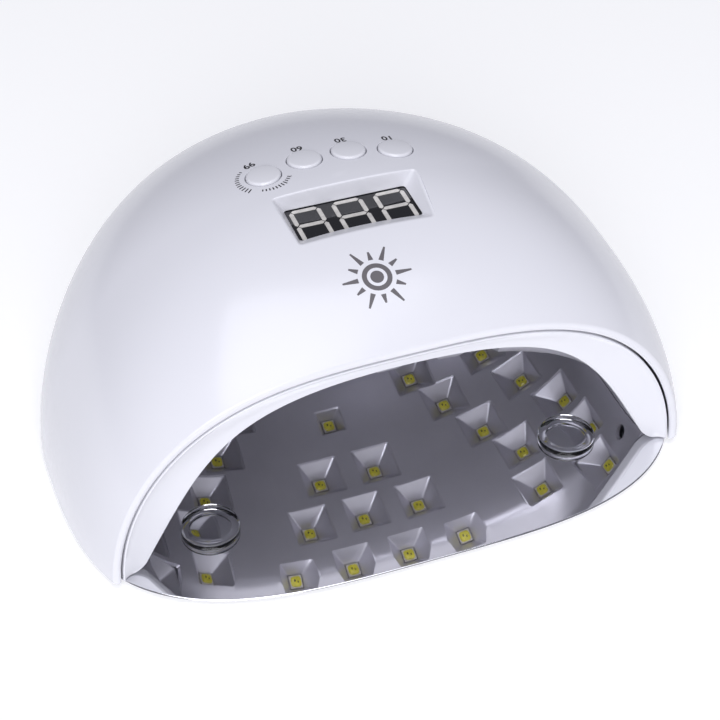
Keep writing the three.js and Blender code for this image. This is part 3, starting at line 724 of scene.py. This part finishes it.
def slot_cutter(name, x, z, width, height, front, back):
    """A slot with round ends that runs along Y."""
    r = width / 2
    ring = []
    for a in np.linspace(0, math.pi, 9):
        ring.append((x + r * math.cos(a), z + height / 2 - r + r * math.sin(a)))
    for a in np.linspace(math.pi, 2 * math.pi, 9):
        ring.append((x + r * math.cos(a), z - height / 2 + r + r * math.sin(a)))
    return loft(name, [[(px, y, pz) for px, pz in ring] for y in (front, back)])


def recess_wall():
    """The pocket that hangs under the dome round the display."""
    low = recess_ring(RECESS["floor"], RECESS["wall"])
    high = recess_ring(RECESS["floor"] + CUTTER_REACH, RECESS["wall"])
    return loft("recess_wall", [low, crossing(dome_field(SHELL_WALL / 2), low, high)])


shell = shell_body()
boolean(shell, recess_wall(), "UNION")
boolean(shell, flared_cutter("recess", recess_ring, RECESS["floor"] - 1.0, 0.7), "DIFFERENCE")
for name, (bx, by) in BUTTONS.items():
    hole = circle_ring(bx, by, BUTTON_RADIUS + GAP)
    boolean(shell, flared_cutter("hole", hole, dome_top(bx, by) - 6.0, 0.45), "DIFFERENCE")
for i in range(VENT_COUNT):
    vent_x = (i - (VENT_COUNT - 1) / 2) * VENT_PITCH
    vent = slot_cutter("vent", vent_x, VENT_Z, VENT_WIDTH, VENT_HEIGHT, 50.0, 100.0)
    boolean(shell, vent, "DIFFERENCE")
along_y = Matrix.Translation((0, 0, JACK_Z)) @ Matrix.Rotation(-math.pi / 2, 4, "X")
jack_hole = lathe("jack_hole", [(0, 80), (4.2, 80), (4.2, 100), (0, 100)], 64, along_y)
boolean(shell, jack_hole, "DIFFERENCE")
finish_piece(shell, "housing", [shell_white], ["top_shell"],
             fields=[dome_field()])

# ---------------------------------------------------------------- front rim


def front_rim():
    foot_round = 4.2
    heights = (0.0, 0.15, 0.4, 0.8, 1.3, 1.9, 2.6, 3.4, 4.2, 5.2)
    angles = arc_angles(160, heights, 92.0)
    outer_y = FRONT_Y + 0.6
    outer = dome_radius(outer_y, angles, SHELL_WALL + RIM_GAP)
    behind = dome_radius(FRONT_Y + RIM_FLANGE, angles, SHELL_WALL + RIM_GAP)
    plain = mouth_radius(angles)
    height = plain * np.sin(angles)
    low = np.clip(foot_round - height, 0, foot_round)
    widen = foot_round - np.sqrt(foot_round ** 2 - low ** 2)
    inner = plain + widen * np.abs(np.cos(angles))
    inner = np.minimum(inner, outer - 3.0)
    sections = []
    # front face, from the parting line in to the mouth, with both edges rounded
    edge, lip = 0.5, 1.1
    for a in np.linspace(math.pi / 2, 0, 6):
        sections.append((outer - edge + edge * math.sin(a), outer_y + edge - edge * math.cos(a)))
    for t in np.linspace(0.06, 0.94, 9):
        bow = 0.45 * math.sin(math.pi * t)
        sections.append((outer * (1 - t) + inner * t, outer_y * (1 - t) + MOUTH_Y * t + bow))
    for a in np.linspace(0, math.pi / 2, 8):
        sections.append((inner + lip - lip * math.sin(a), MOUTH_Y + lip - lip * math.cos(a)))
    return_y = MOUTH_Y + RIM_RETURN
    sections.append((inner, return_y))
    sections.append((inner + 1.4, return_y))
    sections.append((inner + 1.4, MOUTH_Y + 1.8))
    sections.append((outer - 1.6, outer_y + 1.8))
    sections.append((outer - 1.6, FRONT_Y + RIM_FLANGE))
    sections.append((np.minimum(behind, outer), FRONT_Y + RIM_FLANGE))
    rings = []
    for k, angle in enumerate(angles):
        ring = []
        for radius, y in sections:
            r = radius[k]
            yy = y[k] if isinstance(y, np.ndarray) else y
            ring.append((r * math.cos(angle), yy, BASE_Z + r * math.sin(angle)))
        rings.append(ring)
    return loft("rim", rings)


finish_piece(front_rim(), "housing", [rim_white], ["front_rim"])

# ---------------------------------------------------------------- reflector


def arch_solid(name, radius_at, planes, angles, floor=None):
    rings = []
    for y in planes:
        radius = radius_at(y, angles)
        ring = [(r * math.cos(a), y, BASE_Z + r * math.sin(a)) for r, a in zip(radius, angles)]
        if floor is not None:
            ring.insert(0, (ring[0][0], y, floor))
            ring.append((ring[-1][0], y, floor))
        rings.append(ring)
    return loft(name, rings)


def frustum(name, matrix, pocket, start, end, grow, flare=0.0):
    slope = (pocket["opening"] - pocket["bottom"]) / pocket["depth"]
    levels = [(start, grow), (end, grow)]
    if flare:
        levels = [(start, grow + flare), (0.0, grow + flare), (flare * 0.9, grow), (end, grow)]
    rings = []
    for depth, extra in levels:
        half = (pocket["opening"] - slope * max(depth, -1.0)) / 2 + extra
        ring = []
        corner = min(0.8, half * 0.25)
        for cx, cy in ((1, 1), (-1, 1), (-1, -1), (1, -1)):
            base = math.atan2(cy, cx) - math.pi / 4
            for s in range(4):
                a = base + s / 3 * math.pi / 2
                px = cx * (half - corner) + corner * math.cos(a)
                py = cy * (half - corner) + corner * math.sin(a)
                ring.append(matrix @ Vector((px, py, depth)))
        rings.append(ring)
    return loft(name, rings)


def reflector():
    angles = np.linspace(0, math.pi, 97)
    outer_planes = sine_planes(LINER_FRONT, LINER_BACK + LINER_WALL, 64)
    outer = arch_solid(
        "reflector", lambda y, a: liner_radius(min(y, LINER_BACK - 0.05), a) + LINER_WALL,
        outer_planes, angles)
    chamber = arch_solid(
        "chamber", lambda y, a: liner_radius(max(y, LINER_FRONT), a),
        np.concatenate(([LINER_FRONT - 2], sine_planes(LINER_FRONT, LINER_BACK - 0.05, 72))),
        angles, BASE_Z - 5)
    # the flat flange that the screws go through
    planes = sine_planes(LINER_FRONT + 0.4, CENTRE_Y + BACK_DEPTH - 4.0, 60)
    half = dome_radius(planes, np.zeros(len(planes)), SHELL_WALL + 1.0)
    outline = [(x, y) for x, y in zip(half, planes)] + [(-x, y) for x, y in
                                                        reversed(list(zip(half, planes)))]
    flange = loft("flange", [[(x, y, z) for x, y in outline]
                             for z in (FLANGE_Z, FLANGE_Z + FLANGE_THICK)])
    boolean(outer, flange, "UNION")
    cutters = []
    for spots in STRIPS.values():
        for x, y in spots:
            matrix = pocket_frame(x, y)
            pocket = pocket_of(x, y)
            wall = frustum("wall", matrix, pocket, 0.2, pocket["depth"] + pocket["wall"],
                           pocket["wall"] + 0.2)
            boolean(outer, wall, "UNION")
            cutters.append(frustum("cut", matrix, pocket, -3.0, pocket["depth"], 0.0, 0.35))
            hole = pocket["bottom"] / 2
            cutters.append(block("hole", (-hole, -hole, pocket["depth"] - 0.5),
                                 (hole, hole, pocket["depth"] + 3), matrix))
    boolean(outer, chamber, "DIFFERENCE")
    for cutter in cutters:
        boolean(outer, cutter, "DIFFERENCE")
    for side in (-1, 1):
        turn = Matrix.Translation((0, SENSOR_Y, SENSOR_Z)) @ Matrix.Rotation(
            side * math.pi / 2, 4, "Y")
        hole = lathe("sensor_hole", [(0, 76), (SENSOR_HOLE, 76), (SENSOR_HOLE, 103), (0, 103)],
                     48, turn)
        boolean(outer, hole, "DIFFERENCE")
    for x, y in BOSSES:
        place = Matrix.Translation((x, y, 0))
        boolean(outer, lathe("screw_hole", [(0, 1), (1.6, 1), (1.6, 20), (0, 20)], 32, place),
                "DIFFERENCE")
    return outer


finish_piece(reflector(), "housing", [reflector_satin],
             ["reflector_liner"], angle=24.0, fields=[liner_field])

# ---------------------------------------------------------------- LEDs on their strips


def signed_power(value, power):
    return math.copysign(abs(value) ** power, value)


def led_dome(matrix, base):
    """The phosphor in one package: a low rounded-square dome."""
    rings = []
    levels = [(2.02, 0.0), (2.0, 0.12), (1.86, 0.34), (1.5, 0.52), (0.95, 0.62), (0.4, 0.66)]
    steps = 32
    for half, height in levels:
        ring = []
        for k in range(steps):
            a = 2 * math.pi * k / steps
            x, y = (half * signed_power(v, 2 / 3.4) for v in (math.cos(a), math.sin(a)))
            ring.append(matrix @ Vector((x, y, base - height)))
        rings.append(ring)
    return loft("phosphor", rings)


def tinted(obj, material):
    obj.data.materials.append(material)
    return obj


def led_strip(name, spots):
    parts = []
    previous = None
    for x, y in spots:
        matrix = pocket_frame(x, y)
        pocket = pocket_of(x, y)
        seat = pocket["depth"] + pocket["wall"] + GAP
        face = pocket["depth"] - 0.35
        parts.append(tinted(block("body", (-2.4, -2.4, face), (2.4, 2.4, seat + 0.3), matrix,
                                  0.28), led_body))
        parts.append(tinted(led_dome(matrix, face + 0.05), phosphor))
        for dx, dy, w, h in ((-0.55, 0.35, 0.30, 0.42), (0.6, -0.25, 0.26, 0.34)):
            parts.append(tinted(block("die", (dx - w, dy - h, face - 0.66),
                                      (dx + w, dy + h, face - 0.3), matrix, 0.08), led_dark))
        parts.append(tinted(block("pad", (-4, -4, seat), (4, 4, seat + 1.6), matrix, 0.25),
                            strip_white))
        for side in (-1, 1):
            parts.append(tinted(block("contact", (side * 3.1 - 0.5, -1.5, seat + 1.5),
                                      (side * 3.1 + 0.5, 1.5, seat + 1.9), matrix, 0.12), nickel))
        joint = matrix @ Vector((0, 0, seat + 1.0))
        out = matrix.to_3x3() @ Vector((0, 0, 1))
        if previous is not None:
            along = joint - previous[0]
            length = along.length
            along.normalize()
            up = (out + previous[1]).normalized()
            across = up.cross(along).normalized()
            up = along.cross(across)
            link = Matrix((along, across, up)).transposed().to_4x4()
            link.translation = (joint + previous[0]) / 2
            parts.append(tinted(block("link", (-length / 2 - 2, -3, -0.3),
                                      (length / 2 + 2, 3, 0.3), link, 0.12), strip_white))
        previous = (joint, out)
    strip = join(name + "_detail", parts)
    finish_piece(strip, "housing", (), [name], angle=40.0)


for strip_name, strip_spots in STRIPS.items():
    led_strip(strip_name, strip_spots)

# ---------------------------------------------------------------- tray, pads and feet


def tray_ring(inset, z, steps=240):
    """The tray's outline, drawn in by the inset."""
    ring = []
    for k in range(steps):
        a = 2 * math.pi * k / steps
        c, s = math.cos(a), math.sin(a)
        end = "front" if s < 0 else "back"
        power = 2 / TRAY[end + "_corner"]
        ring.append(((TRAY["half_width"] - inset) * signed_power(c, power),
                     TRAY["y"] + (TRAY[end] - inset) * signed_power(s, power), z))
    return ring


def tray():
    half = (TRAY_TOP - TRAY_BOTTOM) / 2
    middle = TRAY_BOTTOM + half
    rings = [tray_ring(0.5, TRAY_BOTTOM)]
    for a in np.linspace(-80, 80, 9):
        a = math.radians(a)
        rings.append(tray_ring(half - half * math.cos(a), middle + half * math.sin(a)))
    rings.append(tray_ring(0.5, TRAY_TOP))
    obj = loft("tray", rings)
    finish_piece(obj, "tray", [mirror_steel], ["base_tray"])
    for polygon in obj.data.polygons:
        if abs(polygon.normal.z) > 0.99:
            polygon.use_smooth = False


tray()


def clear_pad(name, x):
    radius, top, edge = PAD["radius"], PAD["height"], PAD["round"]
    profile = [(0, 0), (radius - 0.2, 0), (radius, 0.2), (radius, top - edge)]
    for a in np.linspace(0, math.pi / 2, 8)[1:]:
        profile.append((radius - edge + edge * math.cos(a), top - edge + edge * math.sin(a)))
    profile += [(7.9, top), (7.6, top - 0.25), (7.2, top - 0.42), (6.8, top - 0.45),
                (3.0, top - 0.45), (0, top - 0.45)]
    pad = lathe(name + "_detail", profile, 96,
                Matrix.Translation((x, PAD["y"], TRAY_TOP + GLUE_LINE)))
    finish_piece(pad, "tray", [clear_gel], [name], angle=45.0)


clear_pad("clear_pad_left", -PAD["x"])
clear_pad("clear_pad_right", PAD["x"])


def foot(name, x, y):
    top = TRAY_BOTTOM - GLUE_LINE
    profile = [(0, 0.15), (3.4, 0.15), (3.6, 0.0), (5.2, 0.0)]
    for a in np.linspace(-math.pi / 2, 0, 6)[1:]:
        profile.append((5.4 + 0.6 * math.cos(a), 0.6 + 0.6 * math.sin(a)))
    profile += [(6.0, top - 0.1), (5.9, top), (0, top)]
    piece = lathe(name + "_detail", profile, 64, Matrix.Translation((x, y, 0)))
    finish_piece(piece, "tray", [rubber_black], [name])


for foot_name, foot_place in FEET.items():
    foot(foot_name, *foot_place)

# ---------------------------------------------------------------- buttons


def button(name, x, y):
    """A cap whose crown follows the dome, with a rounded edge, on its flange and stem."""
    steps, edge = 72, 0.8
    angles = np.linspace(0, 2 * math.pi, steps, endpoint=False)
    bottom = float(dome_top(x, y)) - BUTTON_SKIRT
    radii = [0.6, 1.6, 2.6, 3.6, 4.5]
    radii += [BUTTON_RADIUS - edge + edge * math.sin(a)
              for a in np.linspace(0, math.pi / 2, 9)]
    rings = []
    for r in radii:
        px, py = x + r * np.cos(angles), y + r * np.sin(angles)
        inside = max(r - (BUTTON_RADIUS - edge), 0)
        drop = edge - math.sqrt(max(edge ** 2 - inside ** 2, 0))
        crown = BUTTON_PROUD - 0.25 + 0.25 * (1 - (r / BUTTON_RADIUS) ** 2)
        rings.append(np.stack((px, py, dome_top(px, py) + crown - drop), 1))
    for r, z in ((BUTTON_RADIUS, bottom + 1.0), (BUTTON_FLANGE, bottom + 1.0),
                 (BUTTON_FLANGE, bottom), (BUTTON_STEM, bottom),
                 (BUTTON_STEM, bottom - STEM_LENGTH)):
        rings.append(np.stack((x + r * np.cos(angles), y + r * np.sin(angles),
                               np.full(steps, z)), 1))
    cap = loft(name + "_detail", rings)
    finish_piece(cap, name, [button_white], [name])


for button_name, (bx, by) in BUTTONS.items():
    button(button_name, bx, by)

# ---------------------------------------------------------------- display window and digits


def display():
    rings = []
    for inset, z in ((0.0, WINDOW_TOP - 1.0), (0.0, WINDOW_TOP - 0.25), (0.25, WINDOW_TOP)):
        half = WINDOW["half_x"] + 1.4 - inset
        front, back = WINDOW["front"] - 1.4 + inset, WINDOW["back"] + 1.4 - inset
        corners = [(half, back, True), (-half, back, True), (-half, front, True),
                   (half, front, True)]
        rings.append([(p.x, p.y, z) for p in rounded_ring(corners, 1.5)])
    finish_piece(loft("window", rings), "housing", [window_black],
                 ["display_window"])

    width, height, stroke, space = (DIGIT[k] for k in ("width", "height", "stroke", "space"))
    top = WINDOW["back"] - 1.5
    z0, z1 = WINDOW_TOP - 0.1, WINDOW_TOP + 0.14
    segments = []

    def bar(ax, ay, bx, by):
        """One segment from a to b with pointed ends, on the window."""
        a, b = Vector((ax, ay)), Vector((bx, by))
        along = (b - a).normalized()
        side = Vector((-along.y, along.x)) * stroke / 2
        tip = stroke / 2
        a, b = a + along * space, b - along * space
        outline = [a, a + along * tip + side, b - along * tip + side, b,
                   b - along * tip - side, a + along * tip - side]
        lower = [(p.x, p.y, z0) for p in outline]
        upper = [(p.x, p.y, z1) for p in outline]
        centre = (a + b) / 2
        crest = [tuple((Vector((p.x, p.y)) - centre) * 0.94 + centre) + (z1 + 0.05,)
                 for p in outline]
        segments.append(loft("segment", [lower, upper, crest]))

    for k in (-1, 0, 1):
        left, right = (k * DIGIT["pitch"] + side * width / 2 for side in (-1, 1))
        middle, low = top - height / 2, top - height
        bar(left, top, right, top)
        bar(left, middle, right, middle)
        bar(left, low, right, low)
        for x in (left, right):
            bar(x, top, x, middle)
            bar(x, middle, x, low)
    digits = join("display_digits", segments)
    finish_piece(digits, "housing", [segment_pale])


display()

# ---------------------------------------------------------------- printed marks on the dome


def raise_print(bm, centre, turn, name, material, lift=0.035, sink=0.05):
    """Lays flat shapes, drawn round the origin, on the dome as a thin layer of ink."""
    result = bmesh.ops.extrude_face_region(bm, geom=bm.faces[:])
    raised = {v for v in result["geom"] if isinstance(v, bmesh.types.BMVert)}
    field = dome_field()
    base = surface_points(field, [(centre[0], centre[1], dome_top(*centre))])
    normal = Vector(gradient(field, base)[0]).normalized()
    across = Vector((1, 0, 0))
    across = (across - normal * across.dot(normal)).normalized()
    ahead = normal.cross(across)
    c, s = math.cos(turn), math.sin(turn)
    flat, lifts = [], []
    for v in bm.verts:
        u, w = c * v.co.x - s * v.co.y, s * v.co.x + c * v.co.y
        flat.append(Vector(base[0]) + across * u + ahead * w)
        lifts.append(lift if v in raised else -sink)
    placed = surface_points(field, flat, lifts)
    for v, p in zip(bm.verts, placed):
        v.co = p
    bmesh.ops.recalc_face_normals(bm, faces=bm.faces)
    finish_piece(mesh_object(name, bm), "housing", [material])


def number_print(text, size, centre, turn, name):
    curve = bpy.data.curves.new(name, "FONT")
    curve.body = text
    curve.size = size
    curve.align_x, curve.align_y = "CENTER", "CENTER"
    curve.offset = 0.09
    curve.resolution_u = 4
    holder = add_object(name + "_text", curve)
    bpy.context.view_layer.update()
    graph = bpy.context.evaluated_depsgraph_get()
    mesh = bpy.data.meshes.new_from_object(holder.evaluated_get(graph))
    bm = bmesh.new()
    bm.from_mesh(mesh)
    bmesh.ops.remove_doubles(bm, verts=bm.verts, dist=1e-4)
    bpy.data.meshes.remove(mesh)
    bpy.data.objects.remove(holder)
    raise_print(bm, centre, turn, name, print_black)


for mark, (mark_x, mark_y, tilt) in MARKS.items():
    number_print(mark, MARK_SIZE, (mark_x, mark_y), math.pi + tilt, "mark_" + mark)


def add_ring(bm, inner, outer, start=0.0, end=2 * math.pi, steps=48):
    closed = abs(end - start - 2 * math.pi) < 1e-6
    count = steps if closed else steps + 1
    rows = []
    for k in range(count):
        a = start + (end - start) * k / steps
        rows.append([bm.verts.new((r * math.cos(a), r * math.sin(a), 0)) for r in (inner, outer)])
    for k in range(steps):
        n = (k + 1) % count
        bm.faces.new((rows[k][0], rows[k][1], rows[n][1], rows[n][0]))


def add_bar(bm, angle, inner, outer, half_in, half_out, parts=4):
    """One tapered bar that points away from the origin."""
    c, s = math.cos(angle), math.sin(angle)
    rows = []
    for k in range(parts + 1):
        t = k / parts
        r = inner + (outer - inner) * t
        h = half_in + (half_out - half_in) * t
        rows.append([bm.verts.new((r * c - q * s, r * s + q * c, 0)) for q in (-h, h)])
    for k in range(parts):
        bm.faces.new((rows[k][0], rows[k + 1][0], rows[k + 1][1], rows[k][1]))


def sun_mark():
    bm = bmesh.new()
    add_ring(bm, 1e-3, 2.2)
    add_ring(bm, 3.3, 4.9)
    for k in range(12):
        a = 2 * math.pi * k / 12
        outer = 11.6 if k % 2 == 0 else 9.4
        add_bar(bm, a, 6.3, outer, 0.85, 0.3)
    bmesh.ops.remove_doubles(bm, verts=bm.verts, dist=0.01)
    raise_print(bm, (-3.0, -42.0), 0.0, "mark_sun", print_grey)


def power_scale():
    """Two rows of ticks, like a dial, round the first button."""
    bm = bmesh.new()
    for start, end, count in ((2.35, 3.9, 12), (-1.9, -0.55, 11)):
        for k in range(count):
            a = start + (end - start) * k / (count - 1)
            length = 1.0 + 1.1 * k / (count - 1)
            add_bar(bm, a, 8.2, 8.2 + length, 0.22, 0.22, 2)
    raise_print(bm, BUTTONS["button_double_power"], 0.0, "mark_scale", print_black)


sun_mark()
power_scale()

# ---------------------------------------------------------------- inlet, screws and inner pieces


def dc_jack():
    body = block("dc_jack_detail", (-4.6, 72, JACK_Z - 5.4), (4.6, 84.2, JACK_Z + 5.4), None, 0.5)
    collar = lathe("collar", [(0, 83), (3.9, 83), (3.9, 87.4), (3.4, 88.0), (0, 88.0)], 64,
                   along_y)
    boolean(body, collar, "UNION")
    bore = lathe("bore", [(0, 75), (2.75, 75), (2.75, 87.5), (3.1, 88.4), (0, 88.4)], 64, along_y)
    boolean(body, bore, "DIFFERENCE")
    body.data.materials.append(black_plastic)
    pin = lathe("pin", [(0, 74), (1.0, 74), (1.0, 85.4), (0.8, 86.0), (0, 86.0)], 32, along_y)
    pin.data.materials.append(nickel)
    finish_piece(join("dc_jack_piece", [body, pin]), "housing", (), ["dc_jack"])


def screw(node, x, y, seat, head, thick, shank, length):
    profile = [(0, seat + length), (shank * 0.55, seat + length)]
    turns = int(length / 0.9)
    for k in range(turns):
        z = seat + length - 0.4 - k * 0.9
        profile += [(shank, z), (shank * 0.8, z - 0.4)]
    profile += [(shank, seat), (head, seat), (head, seat - thick * 0.45)]
    for a in np.linspace(0, math.pi / 2, 7)[1:]:
        profile.append((head * (0.55 + 0.45 * math.cos(a)),
                        seat - thick * (0.45 + 0.55 * math.sin(a))))
    profile.append((0, seat - thick))
    piece = lathe(node + "_detail", profile, 40, Matrix.Translation((x, y, 0)))
    for turn in (0.0, math.pi / 2):
        place = Matrix.Translation((x, y, 0)) @ Matrix.Rotation(turn + 0.3, 4, "Z")
        arm = block("cross", (-head * 0.55, -0.32, seat - thick - 1),
                    (head * 0.55, 0.32, seat - thick * 0.35), place)
        boolean(piece, arm, "DIFFERENCE")
    finish_piece(piece, "housing", [zinc], [node])


dc_jack()
for k, (sx, sy) in enumerate(BOSSES):
    screw(f"housing_screw_{k + 1}", sx, sy, FLANGE_Z - GAP, 3.0, 1.8, 1.3, 12)

INNER_FINISH = {
    "control_board": board_green,
    "display_module": black_plastic,
    "power_lead": black_plastic,
    "hand_sensor_left": black_plastic,
    "hand_sensor_right": black_plastic,
}
for node, obj in frame["nodes"].items():
    material = INNER_FINISH.get(node)
    if node.startswith(("magnet", "board_screw")):
        material = zinc
    elif node.startswith("switch"):
        material = black_plastic
    if material is not None:
        obj.data.materials.clear()
        obj.data.materials.append(material)

# ---------------------------------------------------------------- floor, light and camera

LIGHT_TINT, LIGHT_TARGET, LIGHT_DISTANCE = (0.95, 0.955, 1.0), (0, -0.01, 0.05), 2.4
CAMERA_AZIMUTH, CAMERA_ELEVATION, CAMERA_LENS = 20.03, 40.85, 89.6
CAMERA_PLACE = (-160.2, -457.4, 435.6)


def floor():
    size = 6.0
    obj = new_object("floor", [(-size, -size, 0), (size, -size, 0), (size, size, 0),
                               (-size, size, 0)], [(0, 1, 2, 3)])
    material = bpy.data.materials.new("floor_pale")
    material.use_nodes = True
    bsdf = material.node_tree.nodes["Principled BSDF"]
    bsdf.inputs["Base Color"].default_value = (0.85, 0.85, 0.85, 1)
    bsdf.inputs["Roughness"].default_value = 0.9
    bsdf.inputs["Specular IOR Level"].default_value = 0.1
    bsdf.inputs["Emission Color"].default_value = (1, 1, 1, 1)
    bsdf.inputs["Emission Strength"].default_value = 0.30
    obj.data.materials.append(material)


def softbox(name, azimuth, elevation, width, height, power):
    """A soft light at an azimuth round the lamp: 0 is in front, positive is to its left."""
    light = bpy.data.lights.new(name, "AREA")
    light.shape = "RECTANGLE"
    light.size, light.size_y = width, height
    light.energy = power
    light.color = LIGHT_TINT
    obj = add_object(name, light)
    a, e = math.radians(azimuth), math.radians(elevation)
    away = Vector((-math.sin(a) * math.cos(e), -math.cos(a) * math.cos(e), math.sin(e)))
    obj.location = Vector(LIGHT_TARGET) + away * LIGHT_DISTANCE
    obj.rotation_euler = away.to_track_quat("Z", "Y").to_euler()


def camera():
    azimuth, elevation = math.radians(CAMERA_AZIMUTH), math.radians(CAMERA_ELEVATION)
    ahead = Vector((math.sin(azimuth) * math.cos(elevation),
                    math.cos(azimuth) * math.cos(elevation), -math.sin(elevation)))
    right = Vector((math.cos(azimuth), -math.sin(azimuth), 0))
    up = right.cross(ahead)
    data = bpy.data.cameras.new("camera")
    data.sensor_width = 36.0
    data.lens = CAMERA_LENS
    data.clip_start = 0.01
    obj = add_object("camera", data)
    matrix = Matrix((right, up, -ahead)).transposed().to_4x4()
    matrix.translation = Vector(CAMERA_PLACE) * MM
    obj.matrix_world = matrix
    bpy.context.scene.camera = obj


def world():
    scene = bpy.context.scene
    scene.world = bpy.data.worlds.new("studio")
    scene.world.use_nodes = True
    background = scene.world.node_tree.nodes["Background"]
    background.inputs["Color"].default_value = (0.86, 0.87, 1.0, 1)
    background.inputs["Strength"].default_value = 0.20
    scene.view_settings.view_transform = "Standard"
    scene.view_settings.look = "None"


floor()
camera()
world()
softbox("key", 20, 30, 1.6, 1.2, 32.0)
softbox("above", 20, 75, 1.8, 1.8, 30.0)
